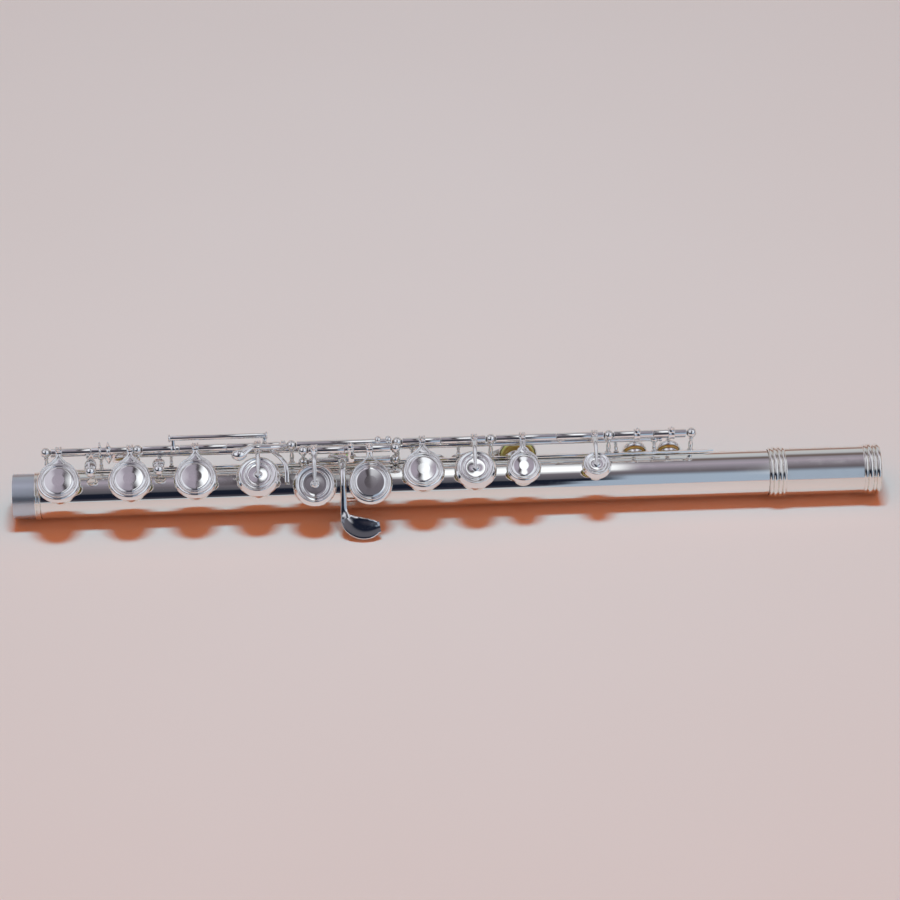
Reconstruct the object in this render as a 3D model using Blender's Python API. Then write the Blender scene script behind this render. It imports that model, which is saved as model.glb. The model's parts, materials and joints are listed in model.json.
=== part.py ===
"""Middle joint of a closed-hole concert flute, as an assembly of separate pieces.

The tube lies along X with the head-joint socket (barrel) at +X and the foot-joint
tenon at -X.  The flute lies on a table, rolled forward until the spoon of the
G sharp key and the barrel rings rest on it.  The origin is on the table, under the
middle of the whole joint.  Places are worked out in millimetres around the tube's
axis: y is to the back, where the rods are, and z is up.  An angle round the tube
counts from straight up, positive to the back.
"""
import bmesh
import bpy
from math import atan2, cos, hypot, pi, radians, sin
from mathutils import Matrix, Vector

MM = 0.001                      # one millimetre in metres

# ---- tube ---------------------------------------------------------------------
TUBE_R = 9.8                    # outside radius of the body tube
BORE_R = 9.4                    # inside radius of the body tube
SEAT_R = 9.65                   # tube turned down under the ring and the barrel
TENON_END = -188.1              # foot-joint end of the tube
RING_LEFT = -178.7              # tenon ring
RING_RIGHT = -176.3
BARREL_LEFT = 138.1             # head-joint barrel
BARREL_RIGHT = 186.6
TUBE_RIGHT = 148.0              # tube ends inside the barrel, which leaves the socket
SLEEVE_BORE = 9.95              # bore of the ring and of the barrel
BARREL_R = 10.25
BEAD_R = 11.15                  # crests of the barrel's turned beads
TENON_BEAD_R = 10.35
AXIS_Z = BEAD_R                 # the barrel's beads lie on the table
X_MIDDLE = (TENON_END + BARREL_RIGHT) / 2
Y_MIDDLE = -3.0                 # middle of the whole joint, front to back

# ---- keywork lines: (y, z) of each hinge axis from the tube's axis -------------
MAIN_LEAN = -31.0               # direction of the main row of tone holes
G_LEAN = -47.0                  # direction of the offset G holes
THUMB_LEAN = 82.0               # direction of the thumb hole
GS_LEAN = 90.0                  # direction of the G sharp hole
TRILL_LEAN = 70.0               # direction of the trill holes


def polar(radius, angle):
    """(y, z) at a radius and an angle round the tube."""
    return radius * sin(radians(angle)), radius * cos(radians(angle))


RH_LINE = polar(20.2, 15.2)     # right-hand keys D, E, F, F sharp
LH_LINE = polar(20.0, 16.0)    # left-hand keys A, B flat, C, C sharp and the trills
G_LINE = polar(20.35, 0.85)      # the two G keys
GS_LINE = polar(12.43, 11.7)    # G sharp key
THUMB_LINE = (12.2, -8.7)       # thumb keys
D_TRILL_LINE = polar(16.6, 42.0)
DS_TRILL_LINE = polar(16.5, 29.0)
RIB_ANGLE = 31.0                # ribs that carry the posts
THUMB_RIB_ANGLE = 132.0

# ---- small sizes ---------------------------------------------------------------
ROD_R = 1.65                    # hinge tube
ROD_BORE = 1.22
STEEL_R = 0.85                  # steel inside the hinge tubes
TRILL_ROD_R = 1.1
KICKER_R = 1.3                  # cam at the end of a trill rod
BALL_R = 2.1                    # post heads
POST_BORE = 1.18
RIM = 11.6                      # tone-hole rims stand this far from the axis
CHIMNEY_WALL = 0.45
PAD_CLEAR = 0.15                # pad above the rim with the key down
PAD_THICK = 2.5
PAD_PROUD = 0.7                 # pad below the cup's edge
CUP_WALL = 0.4
CUP_CROWN = 1.0
OPEN_ANGLE = 10.5               # how far an open key stands off its hole
THUMB_OPEN = 15.0               # the same for the thumb key
RIB_HALF = 1.7
RIB_IN = TUBE_R + 0.3
RIB_OUT = 10.9
GAP = 0.3

# ---- keys: place along the tube, cup radius, hole radius, hinge tube from and to -
KEYS = {
    "d_key": (-167.6, 9.45, 6.6, -170.8, -154.0),
    "e_key": (-137.2, 9.45, 6.6, -153.7, -136.3),
    "f_key": (-109.2, 9.45, 6.6, -115.9, -96.0),
    "f_sharp_key": (-82.5, 9.45, 6.6, -95.7, -81.0),
    "g_lower_key": (-58.4, 9.45, 6.6, -60.7, -45.5),
    "g_upper_key": (-34.6, 9.45, 6.6, -45.2, -25.7),
    "a_key": (-11.8, 9.2, 6.4, -20.2, -4.0),
    "b_flat_key": (10.6, 9.1, 6.4, -3.7, 15.5),
    "c_key": (31.3, 7.5, 4.9, 20.1, 46.0),
    "c_sharp_key": (62.6, 6.35, 3.7, 46.3, 66.5),
}
FORKED = ("d_key", "e_key", "f_key", "g_upper_key", "a_key", "c_key")
THUMB_X = 30.3
GS_X = -46.3
TRILLS = {"d_trill_key": (81.0, 71.1, 87.9), "d_sharp_trill_key": (95.9, 88.2, 102.3)}
TRILL_CUP_R = 5.4
TRILL_HOLE_R = 3.4
THUMB_CUP_R = 8.5
THUMB_HOLE_R = 6.2

SILVER = (0.86, 0.85, 0.84, 1.0)
FINISHES = {
    "silver_plate": (SILVER, 0.12, 1.0),
    "bladder_pad": ((0.78, 0.62, 0.26, 1.0), 0.6, 0.0),
    "spring_steel": ((0.12, 0.14, 0.22, 1.0), 0.3, 1.0),
    "rod_steel": ((0.55, 0.55, 0.56, 1.0), 0.3, 1.0),
}


# ---- shape helpers, all in millimetres round the tube's axis --------------------
def spot(x, line):
    return Vector((x, line[0], line[1]))


def out_from_tube(x, angle):
    """Frame whose Z axis points out of the tube at an angle round it."""
    return Matrix.Translation((x, 0, 0)) @ Matrix.Rotation(radians(-angle), 4, "X")


def swing(line, degrees_down):
    """Turn about a hinge line; positive brings a key's front down."""
    centre = Matrix.Translation((0, line[0], line[1]))
    return centre @ Matrix.Rotation(radians(degrees_down), 4, "X") @ centre.inverted()


def turned(profile, place, segments=16, closed=False):
    """Solid of revolution about local Z from (radius, height) points."""
    bm = bmesh.new()
    verts = [bm.verts.new((r, 0, z)) for r, z in profile]
    edges = [bm.edges.new(pair) for pair in zip(verts, verts[1:])]
    if closed:
        edges.append(bm.edges.new((verts[-1], verts[0])))
    bmesh.ops.spin(
        bm, geom=verts + edges, cent=(0, 0, 0), axis=(0, 0, 1), angle=2 * pi, steps=segments, use_merge=True
    )
    bmesh.ops.remove_doubles(bm, verts=bm.verts[:], dist=0.0005)
    bmesh.ops.recalc_face_normals(bm, faces=bm.faces[:])
    bmesh.ops.transform(bm, matrix=place, verts=bm.verts[:])
    return bm


def along_x(line, x_from):
    """Frame at a hinge line whose Z axis runs along the tube."""
    return Matrix.Translation(spot(x_from, line)) @ Matrix.Rotation(pi / 2, 4, "Y")


def rod(line, x_from, x_to, radius, segments=8):
    length = x_to - x_from
    return turned([(0, 0), (radius, 0), (radius, length), (0, length)], along_x(line, x_from), segments)


def ball(centre, radius):
    bm = bmesh.new()
    place = Matrix.Translation(centre) @ Matrix.Rotation(radians(90), 4, "Y")
    bmesh.ops.create_uvsphere(bm, u_segments=8, v_segments=5, radius=radius, matrix=place)
    return bm


def arm(path, hint=None):
    """Bar of rectangular section through (x, y, z, width, thickness) points."""
    bm = bmesh.new()
    centres = [Vector(p[:3]) for p in path]
    rings = []
    for i, centre in enumerate(centres):
        before = centres[max(i - 1, 0)]
        after = centres[min(i + 1, len(centres) - 1)]
        tangent = (after - before).normalized()
        out = Vector(hint) if hint else Vector((0, centre.y, centre.z))
        side = tangent.cross(out).normalized()
        up = side.cross(tangent).normalized()
        half_w = path[i][3] / 2
        half_t = path[i][4] / 2
        corners = ((-1, -1), (1, -1), (1, 1), (-1, 1))
        rings.append([bm.verts.new(centre + side * half_w * a + up * half_t * b) for a, b in corners])
    bm.faces.new(rings[0][::-1])
    bm.faces.new(rings[-1])
    for low, high in zip(rings, rings[1:]):
        for i in range(4):
            bm.faces.new((low[i], low[(i + 1) % 4], high[(i + 1) % 4], high[i]))
    bmesh.ops.recalc_face_normals(bm, faces=bm.faces[:])
    return bm


def slab(outline, thickness, place):
    """Flat plate from an outline in local X and Y, thick along local Z."""
    bm = bmesh.new()
    face = bm.faces.new([bm.verts.new((x, y, -thickness / 2)) for x, y in outline])
    grown = bmesh.ops.extrude_face_region(bm, geom=[face])
    top = [item for item in grown["geom"] if isinstance(item, bmesh.types.BMVert)]
    bmesh.ops.translate(bm, vec=(0, 0, thickness), verts=top)
    bmesh.ops.recalc_face_normals(bm, faces=bm.faces[:])
    bmesh.ops.transform(bm, matrix=place, verts=bm.verts[:])
    return bm


# ---- objects --------------------------------------------------------------------
def clear_scene():
    for obj in list(bpy.data.objects):
        bpy.data.objects.remove(obj, do_unlink=True)


def material(name):
    made = bpy.data.materials.get(name)
    if made is None:
        colour, roughness, metallic = FINISHES[name]
        made = bpy.data.materials.new(name)
        made.use_nodes = True
        shader = made.node_tree.nodes["Principled BSDF"]
        shader.inputs["Base Color"].default_value = colour
        shader.inputs["Roughness"].default_value = roughness
        shader.inputs["Metallic"].default_value = metallic
    return made


def raw_object(name, bm, origin):
    """Object from a bmesh in millimetres; its origin is moved to a point."""
    shift = Vector((-X_MIDDLE, -Y_MIDDLE, AXIS_Z))
    bmesh.ops.translate(bm, vec=-origin, verts=bm.verts[:])
    bmesh.ops.scale(bm, vec=(MM, MM, MM), verts=bm.verts[:])
    mesh = bpy.data.meshes.new(name)
    bm.to_mesh(mesh)
    bm.free()
    obj = bpy.data.objects.new(name, mesh)
    obj.location = (origin + shift) * MM
    bpy.context.scene.collection.objects.link(obj)
    return obj


def piece(name, finish, solids, cuts=(), origin=(0, 0, 0), solver="EXACT"):
    """One sub-part: the union of its solids less its cuts, in its own object."""
    origin = Vector(origin)
    obj = raw_object(name, solids[0], origin)
    helpers = [("UNION", bm) for bm in solids[1:]] + [("DIFFERENCE", bm) for bm in cuts]
    made = []
    for number, (operation, bm) in enumerate(helpers):
        helper = raw_object(f"{name}_{number}", bm, origin)
        change = obj.modifiers.new("shape", "BOOLEAN")
        change.operation = operation
        change.solver = solver
        change.object = helper
        made.append(helper)
    if made:
        bpy.context.view_layer.update()
        graph = bpy.context.evaluated_depsgraph_get()
        shaped = bpy.data.meshes.new_from_object(obj.evaluated_get(graph))
        obj.modifiers.clear()
        obj.data = shaped
        for helper in made:
            bpy.data.objects.remove(helper, do_unlink=True)
    obj.data.name = name
    obj.data.materials.clear()
    obj.data.materials.append(material(finish))
    obj.data.shade_smooth()
    obj.data.set_sharp_from_angle(angle=radians(35))
    return obj


# ---- tube, ring and barrel -------------------------------------------------------
def tone_holes():
    """(x, angle, hole radius) of every tone hole."""
    holes = []
    for name, (x, _, hole, _, _) in KEYS.items():
        angle = G_LEAN if name.startswith("g_") else MAIN_LEAN
        holes.append((x, angle, hole))
    holes.append((THUMB_X, THUMB_LEAN, THUMB_HOLE_R))
    holes.append((GS_X, GS_LEAN, THUMB_HOLE_R))
    holes += [(x, TRILL_LEAN, TRILL_HOLE_R) for x, _, _ in TRILLS.values()]
    return holes


def upright(x, angle, radius, low, high, segments=12):
    """Plain round bar that stands out of the tube."""
    profile = [(0, low), (radius, low), (radius, high), (0, high)]
    return turned(profile, out_from_tube(x, angle), segments)


def body_tube():
    step_left = RING_RIGHT + GAP
    step_right = BARREL_LEFT - GAP
    profile = [
        (0, TENON_END), (SEAT_R, TENON_END), (SEAT_R, step_left), (TUBE_R, step_left),
        (TUBE_R, step_right), (SEAT_R, step_right), (SEAT_R, TUBE_RIGHT), (0, TUBE_RIGHT),
    ]
    solids = [turned(profile, along_x((0, 0), 0), 28)]
    cuts = []
    for x, angle, hole in tone_holes():
        solids.append(upright(x, angle, hole + CHIMNEY_WALL, 7.0, RIM))
        cuts.append(upright(x, angle, hole, 6.0, RIM + 2))
    cuts.append(rod((0, 0), TENON_END - 5, TUBE_RIGHT + 5, BORE_R, 28))
    piece("body_tube", "silver_plate", solids, cuts, solver="MANIFOLD")


def beaded_sleeve(name, finish, x_from, x_to, wall_r, bead_r, groups):
    """Short sleeve over the tube with turned beads near its ends."""
    outline = [(SLEEVE_BORE, x_from), (wall_r, x_from)]
    for start, count, pitch in groups:
        for bead in range(count):
            left = start + bead * pitch
            outline += [(wall_r, left), (bead_r, left + 0.45 * pitch), (wall_r, left + 0.9 * pitch)]
    outline += [(wall_r, x_to), (SLEEVE_BORE, x_to)]
    tidy = [outline[0]]
    for point in outline[1:]:
        if hypot(point[0] - tidy[-1][0], point[1] - tidy[-1][1]) > 0.01:
            tidy.append(point)
    piece(name, finish, [turned(tidy, along_x((0, 0), 0), 20, closed=True)])


# ---- posts and ribs ---------------------------------------------------------------
def post(x, foot, head, ball_r, shaft_r):
    """Turned post from the rib to a ball head on a hinge line, as two solids."""
    start = spot(x, foot)
    end = spot(x, head)
    length = (end - start).length
    lean = atan2(head[0] - foot[0], head[1] - foot[1])
    place = Matrix.Translation(start) @ Matrix.Rotation(-lean, 4, "X")
    profile = [
        (0, 0), (shaft_r * 1.5, 0), (shaft_r * 1.5, 0.9), (shaft_r, 1.7),
        (shaft_r * 0.8, length - ball_r), (0, length),
    ]
    return [turned(profile, place, 6), ball(end, ball_r)]


def rib(name, x_from, x_to, angle, posts):
    """Strap along the tube with its posts; a post is (x, foot angle, line, ball, shaft)."""
    place = out_from_tube(0, angle) @ Matrix.Translation((0, 0, (RIB_IN + RIB_OUT) / 2))
    point = 2.4 * RIB_HALF
    outline = [
        (x_from, 0), (x_from + point, -RIB_HALF), (x_to - point, -RIB_HALF),
        (x_to, 0), (x_to - point, RIB_HALF), (x_from + point, RIB_HALF),
    ]
    solids = [slab(outline, RIB_OUT - RIB_IN, place)]
    cuts = []
    for x, foot_angle, line, ball_r, shaft_r in posts:
        solids += post(x, polar(RIB_OUT - 0.1, foot_angle), line, ball_r, shaft_r)
        bore = POST_BORE if ball_r > 2.0 else TRILL_ROD_R + 0.3
        cuts.append(rod(line, x - 3, x + 3, bore))
    piece(name, "silver_plate", solids, cuts, solver="MANIFOLD")


def g_post(x):
    """Post with two ball heads, for the G keys and below them the G sharp key."""
    return [(x, 24.0, GS_LINE, BALL_R, 0.9), (x, 21.8, G_LINE, BALL_R, 0.8)]


def ribs():
    right_hand = [(x, RIB_ANGLE, RH_LINE, BALL_R, 0.85) for x in (-173.2, -134.0, -68.0)]
    right_hand += [(-150.0, 31.0, DS_TRILL_LINE, 1.9, 0.7), (-120.0, 36.0, D_TRILL_LINE, 1.9, 0.7)]
    rib("right_hand_rib", -175.0, -58.5, RIB_ANGLE, right_hand + g_post(-63.0))
    left_hand = [(x, RIB_ANGLE, LH_LINE, BALL_R, 0.85) for x in (-22.5, 17.8, 68.8, 104.6)]
    left_hand += [(-16.0, 31.0, DS_TRILL_LINE, 1.9, 0.7), (88.9, 31.0, DS_TRILL_LINE, 1.9, 0.7)]
    left_hand += [(4.0, 36.0, D_TRILL_LINE, 1.9, 0.7), (72.4, 36.0, D_TRILL_LINE, 1.9, 0.7)]
    rib("left_hand_rib", -29.0, 114.7, RIB_ANGLE, left_hand + g_post(-23.4))
    thumb = [(x, THUMB_RIB_ANGLE, THUMB_LINE, BALL_R, 0.85) for x in (-18.0, 17.5)]
    rib("thumb_rib", -22.5, 22.0, THUMB_RIB_ANGLE, thumb)


def steels():
    spans = {
        "right_hand_steel": (RH_LINE, -174.6, -66.6), "left_hand_steel": (LH_LINE, -24.0, 106.0),
        "g_steel": (G_LINE, -64.4, -22.0), "g_sharp_steel": (GS_LINE, -64.4, -22.0),
        "thumb_steel": (THUMB_LINE, -19.4, 18.9),
    }
    for name, (line, x_from, x_to) in spans.items():
        piece(name, "rod_steel", [rod(line, x_from, x_to, STEEL_R)])


# ---- keys -------------------------------------------------------------------------
def cup(place, radius, gap):
    """Shallow cup over a hole, with a pocket for its pad."""
    edge = RIM + gap + PAD_PROUD
    roof = RIM + gap + PAD_THICK + GAP
    top = roof + CUP_WALL
    pocket = radius - CUP_WALL - 0.25
    profile = [
        (0, roof), (pocket, roof), (pocket, edge), (radius, edge), (radius, edge + 1.0),
        (radius - 0.7, top), (0.55 * radius, top + 0.5 * CUP_CROWN), (0, top + 0.35),
    ]
    return turned(profile, place, 16)


def pad(name, place, radius, gap, origin):
    outer = radius - CUP_WALL - 0.25 - GAP
    low = RIM + gap
    high = low + PAD_THICK
    profile = [(0, low), (outer, low), (outer, high), (0, high)]
    piece(name, "bladder_pad", [turned(profile, place, 16)], origin=origin)


def collar(line, x, half_width=1.4, radius=2.25):
    return rod(line, x - half_width, x + half_width, radius)


def forked_arm(x, line_local, radius, top):
    """Flat arm from the hinge that widens into the cup's shoulder, in the key-down frame."""
    reach = line_local[0] - ROD_R * 0.6
    width = 0.95 * radius
    outline = [
        (x - 1.2, reach), (x - 1.0, radius + 1.6), (x - width, 0.45 * radius),
        (x + width, 0.45 * radius), (x + 1.0, radius + 1.6), (x + 1.2, reach),
    ]
    bm = slab(outline, 1.0, Matrix.Identity(4))
    rise = (line_local[1] + 0.2 - top) / (reach - radius - 1.6)
    for vert in bm.verts:
        vert.co.z += top + max(0.0, vert.co.y - radius - 1.6) * rise
    return bm


def pointed_arm(x, line_local, top):
    """Slim arm from the hinge to the middle of the cup, in the key-down frame."""
    back, height = line_local
    path = [
        (x, back - 0.8, height + 0.9, 2.4, 1.7), (x, 0.65 * back, top + 1.3, 2.0, 1.5),
        (x, 0.25 * back, top + 1.0, 1.7, 1.3), (x, -1.2, top + 0.3, 1.2, 1.3),
    ]
    return arm(path, hint=(0, 0, 1))


def in_key_frame(line, angle):
    """A hinge line's (y, z) seen from a frame whose z points at a tone hole."""
    radius = hypot(*line)
    turn = atan2(line[0], line[1]) - radians(angle)
    return radius * sin(turn), radius * cos(turn)


def open_key(name):
    """Key of the main row: hinge tube, collar, arm and cup, standing open."""
    x, radius, _, x_from, x_to = KEYS[name]
    is_g = name.startswith("g_")
    angle = G_LEAN if is_g else MAIN_LEAN
    line = G_LINE if is_g else (RH_LINE if x < -70 else LH_LINE)
    stand = swing(line, -OPEN_ANGLE)
    local = in_key_frame(line, angle)
    top = RIM + PAD_CLEAR + PAD_THICK + GAP + CUP_WALL
    if name in FORKED:
        limb = forked_arm(x, local, radius, top + 0.35)
    else:
        limb = pointed_arm(x, local, top)
    bmesh.ops.transform(limb, matrix=stand @ out_from_tube(0, angle), verts=limb.verts[:])
    holder = cup(stand @ out_from_tube(x, angle), radius, PAD_CLEAR)
    solids = [rod(line, x_from, x_to, ROD_R), collar(line, x), holder, limb]
    solids += extra_limbs(name, line)
    cut = rod(line, x_from - 1, x_to + 1, ROD_BORE)
    origin = spot(x, line)
    piece(name, "silver_plate", solids, [cut], origin)
    pad(name.replace("_key", "_pad"), stand @ out_from_tube(x, angle), radius, PAD_CLEAR, origin)


def extra_limbs(name, line):
    """Small levers on the hinge tubes that pass one key's motion to the next."""
    y, z = line
    if name == "c_sharp_key":
        return [ball(Vector((47.8, y + 0.6, z - 2.4)), 1.1)]
    if name == "g_upper_key":
        lug = [(-43.8, y, z - 1, 2.2, 1.6), (-43.8, y + 1.2, z - 4.6, 2.2, 1.6)]
        return [collar(line, -43.8, 1.2, 2.2), arm(lug, (1, 0, 0))]
    return []


def g_sharp_key():
    """See-saw key: spoon in front, hinge tube on top, closed cup at the back."""
    y, z = GS_LINE
    x = GS_X
    spoon_arm = arm([
        (x, y, z + 0.6, 3.4, 1.6), (x, -3.6, 12.6, 3.2, 1.7), (x, -9.6, 9.9, 3.0, 1.7),
        (x, -13.2, 4.2, 3.0, 1.7), (x, -15.9, -0.6, 3.4, 1.7), (x + 0.8, -18.0, -2.8, 4.6, 1.8),
    ])
    spoon = arm([
        (x + 0.6, -17.6, -2.2, 4.4, 1.6), (x + 3.4, -20.3, -4.4, 8.2, 1.7), (x + 7.6, -21.8, -5.8, 9.2, 1.7),
        (x + 11.6, -22.0, -6.0, 8.0, 1.7), (x + 14.6, -21.6, -5.7, 4.8, 1.6),
    ], hint=(0, -0.85, 0.6))
    back_arm = arm([
        (x, y + 0.5, z - 0.4, 3.0, 1.2), (x, 6.6, 10.6, 3.0, 1.0), (x, 9.6, 9.4, 3.6, 0.8),
        (x, 13.1, 8.6, 4.0, 0.8),
    ])
    place = out_from_tube(x, GS_LEAN)
    solids = [
        rod(GS_LINE, -60.7, -25.7, ROD_R), spoon_arm, spoon, back_arm, cup(place, THUMB_CUP_R, GAP),
    ]
    cut = rod(GS_LINE, -62, -24, ROD_BORE)
    origin = spot(x, GS_LINE)
    piece("g_sharp_key", "silver_plate", solids, [cut], origin)
    pad("g_sharp_pad", place, THUMB_CUP_R, GAP, origin)


def touch_plate(x, half_long, half_wide):
    """Oval plate for the thumb, lying against the back of the tube."""
    angles = [2 * pi * i / 12 for i in range(12)]
    outline = [(half_long * cos(a) + x, half_wide * sin(a)) for a in angles]
    place = Matrix.Translation((0, 17.3, -0.6)) @ Matrix.Rotation(radians(-68), 4, "X")
    return slab(outline, 1.2, place)


def thumb_keys():
    """B key with its cup held open, and the B flat lever beside it."""
    y, z = THUMB_LINE
    stand = swing(THUMB_LINE, -THUMB_OPEN)
    place = stand @ out_from_tube(THUMB_X, THUMB_LEAN)
    link = arm([
        (12.0, y + 0.6, z + 0.6, 4.0, 1.4), (15.0, 16.0, -4.5, 4.0, 1.3), (21.0, 17.8, 0.2, 4.4, 1.3),
        (28.0, 18.3, 2.0, 4.6, 1.3),
    ], hint=(0, 1, 0))
    stem = arm([
        (5.0, y + 0.6, z + 0.6, 3.2, 1.4), (5.5, 15.6, -4.2, 3.2, 1.3), (6.5, 16.9, -1.6, 3.6, 1.2),
    ], (0, 1, 0))
    solids = [
        rod(THUMB_LINE, 1.0, 15.2, ROD_R), link, stem, touch_plate(8.5, 7.4, 3.9),
        cup(place, THUMB_CUP_R, PAD_CLEAR),
    ]
    origin = spot(THUMB_X, THUMB_LINE)
    piece("thumb_b_key", "silver_plate", solids, [rod(THUMB_LINE, 0, 17, ROD_BORE)], origin)
    pad("thumb_b_pad", place, THUMB_CUP_R, PAD_CLEAR, origin)
    flat_stem = arm([
        (-7.6, y + 0.6, z + 0.6, 3.2, 1.4), (-7.6, 15.6, -4.2, 3.2, 1.3), (-7.6, 16.9, -1.6, 3.6, 1.2),
    ], (0, 1, 0))
    solids = [rod(THUMB_LINE, -15.7, 0.7, ROD_R), flat_stem, touch_plate(-7.6, 6.2, 3.6)]
    origin = spot(-7.6, THUMB_LINE)
    piece("thumb_b_flat_lever", "silver_plate", solids, [rod(THUMB_LINE, -17, 2, ROD_BORE)], origin)


def trill_keys():
    """Two closed keys that hang from the left-hand line."""
    y, z = LH_LINE
    crown = out_from_tube(0, TRILL_LEAN) @ Vector((0, 0, RIM + GAP + PAD_THICK + GAP + CUP_WALL))
    for name, (x, x_from, x_to) in TRILLS.items():
        hanger = arm([
            (x, y + 0.8, z - 0.2, 2.4, 1.6), (x, y + 4.4, z - 3.2, 2.2, 1.3),
            (x, crown.y + 0.9, crown.z + 4.2, 2.2, 1.2), (x, crown.y + 0.1, crown.z, 2.6, 1.4),
        ], hint=(0, 1, 0.4))
        place = out_from_tube(x, TRILL_LEAN)
        solids = [
            rod(LH_LINE, x_from, x_to, ROD_R), collar(LH_LINE, x), hanger, cup(place, TRILL_CUP_R, GAP),
        ]
        cut = rod(LH_LINE, x_from - 1, x_to + 1, ROD_BORE)
        origin = spot(x, LH_LINE)
        piece(name, "silver_plate", solids, [cut], origin)
        pad(name.replace("_key", "_pad"), place, TRILL_CUP_R, GAP, origin)


def trill_levers():
    """Long rods behind the keys, each with a touch at one end and a kicker at the other."""
    y, z = DS_TRILL_LINE
    x = -154.1
    touch = [
        (x, y, z + 0.3, 2.0, 1.4), (x, 3.6, 16.6, 2.6, 1.4), (x, 0.6, 16.6, 5.0, 1.5),
        (x, -3.2, 15.6, 4.2, 1.6),
    ]
    solids = [
        rod(DS_TRILL_LINE, -156.3, 92.2, TRILL_ROD_R), arm(touch), ball(Vector((x, -3.6, 15.5)), 2.4),
        rod(DS_TRILL_LINE, 90.9, 92.2, KICKER_R),
    ]
    piece("d_sharp_trill_lever", "silver_plate", solids, origin=spot(x, DS_TRILL_LINE))
    y, z = D_TRILL_LINE
    x = -125.0
    touch = [
        (x, y, z, 2.0, 1.2), (x, 6.6, 11.9, 2.2, 1.2), (x, 3.4, 14.6, 2.6, 1.3), (x, 0.6, 16.2, 5.0, 1.5),
        (x, -3.2, 15.6, 4.2, 1.6),
    ]
    solids = [
        rod(D_TRILL_LINE, -127.2, 75.2, TRILL_ROD_R), arm(touch), ball(Vector((x, -3.6, 15.5)), 2.4),
        rod(D_TRILL_LINE, 74.4, 75.2, KICKER_R),
    ]
    piece("d_trill_lever", "silver_plate", solids, origin=spot(x, D_TRILL_LINE))


def split_e_lever():
    """Raised bridge over the F keys that joins the E side to the lower G side."""
    y, z = RH_LINE
    high = (7.0, 24.0)
    solids = [
        rod(RH_LINE, -131.7, -116.2, ROD_R), rod(RH_LINE, -80.7, -72.9, ROD_R), rod(high, -120.6, -78.2, 1.1),
        arm([(-118.6, y, z + 0.8, 2.0, 2.0), (-118.6, high[0], high[1], 2.0, 2.0)], (1, 0, 0)),
        arm([(-79.4, y, z + 0.8, 2.0, 2.0), (-79.4, high[0], high[1], 2.0, 2.0)], (1, 0, 0)),
        arm([
            (-76.6, y - 1.0, z - 0.8, 2.6, 1.6), (-74.6, 2.4, 17.6, 2.2, 1.4), (-71.6, -0.6, 16.6, 2.0, 1.4),
            (-70.4, -4.8, 14.9, 2.0, 1.4), (-70.3, -8.9, 11.6, 2.0, 1.4),
        ]),
    ]
    cuts = [rod(RH_LINE, -133, -70, ROD_BORE)]
    piece("split_e_lever", "silver_plate", solids, cuts, spot(-118.6, RH_LINE))


def shake_lever():
    """B flat side lever, and the tube behind the G keys that it turns."""
    solids = [
        rod(RH_LINE, -72.6, -70.4, ROD_R), collar(RH_LINE, -71.5, 1.1, 2.3),
        arm([
            (-71.6, 3.0, 21.0, 2.2, 2.2), (-75.0, 1.3, 22.2, 2.2, 2.2), (-82.0, 0.9, 22.8, 2.2, 2.0),
            (-85.4, 0.6, 22.9, 2.6, 1.8), (-88.0, -0.4, 22.2, 5.0, 2.2), (-90.2, -2.4, 21.0, 4.6, 2.6),
        ], hint=(0, 0.2, 1)),
        ball(Vector((-89.8, -2.1, 21.2)), 2.6),
    ]
    cuts = [rod(RH_LINE, -74, -69, ROD_BORE)]
    origin = spot(-71.5, RH_LINE)
    piece("b_flat_shake_lever", "silver_plate", solids, cuts, origin)
    solids = [rod(RH_LINE, -65.7, -25.0, ROD_R)] + [collar(RH_LINE, x, 1.0, 2.4) for x in (-30.8, -26.4)]
    cuts = [rod(RH_LINE, -67, -24, ROD_BORE)]
    piece("b_flat_shake_rod", "silver_plate", solids, cuts, origin)


def needle_springs():
    """Thin steel springs that run beside the rods from a post to a key."""
    springs = {
        "d_spring": (-171.0, -156.5, RH_LINE), "e_spring": (-136.4, -150.0, RH_LINE),
        "f_spring": (-131.6, -112.0, RH_LINE), "f_sharp_spring": (-99.0, -84.0, RH_LINE),
        "a_spring": (-20.0, -6.0, LH_LINE), "b_flat_spring": (15.3, 0.0, LH_LINE),
        "c_spring": (20.2, 44.0, LH_LINE), "c_sharp_spring": (66.3, 50.0, LH_LINE),
        "trill_spring": (102.0, 89.5, LH_LINE),
    }
    for name, (x_from, x_to, line) in springs.items():
        beside = (line[0] + 0.9, line[1] - 2.9)
        low, high = sorted((x_from, x_to))
        piece(name, "spring_steel", [rod(beside, low, high, 0.3, 6)])


def main():
    clear_scene()
    body_tube()
    groups = [(RING_LEFT, 2, (RING_RIGHT - RING_LEFT) / 2)]
    beaded_sleeve("tenon_ring", "silver_plate", RING_LEFT, RING_RIGHT, 10.2, TENON_BEAD_R, groups)
    groups = [(BARREL_LEFT, 4, 2.05), (BARREL_RIGHT - 6.9, 3, 2.3)]
    beaded_sleeve("barrel", "silver_plate", BARREL_LEFT, BARREL_RIGHT, BARREL_R, BEAD_R, groups)
    ribs()
    steels()
    for name in KEYS:
        open_key(name)
    g_sharp_key()
    thumb_keys()
    trill_keys()
    trill_levers()
    split_e_lever()
    shake_lever()
    needle_springs()


main()
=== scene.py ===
import json
from math import atan2, cos, hypot, pi, radians, sin

import bmesh
import bpy
from mathutils import Matrix, Vector


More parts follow.
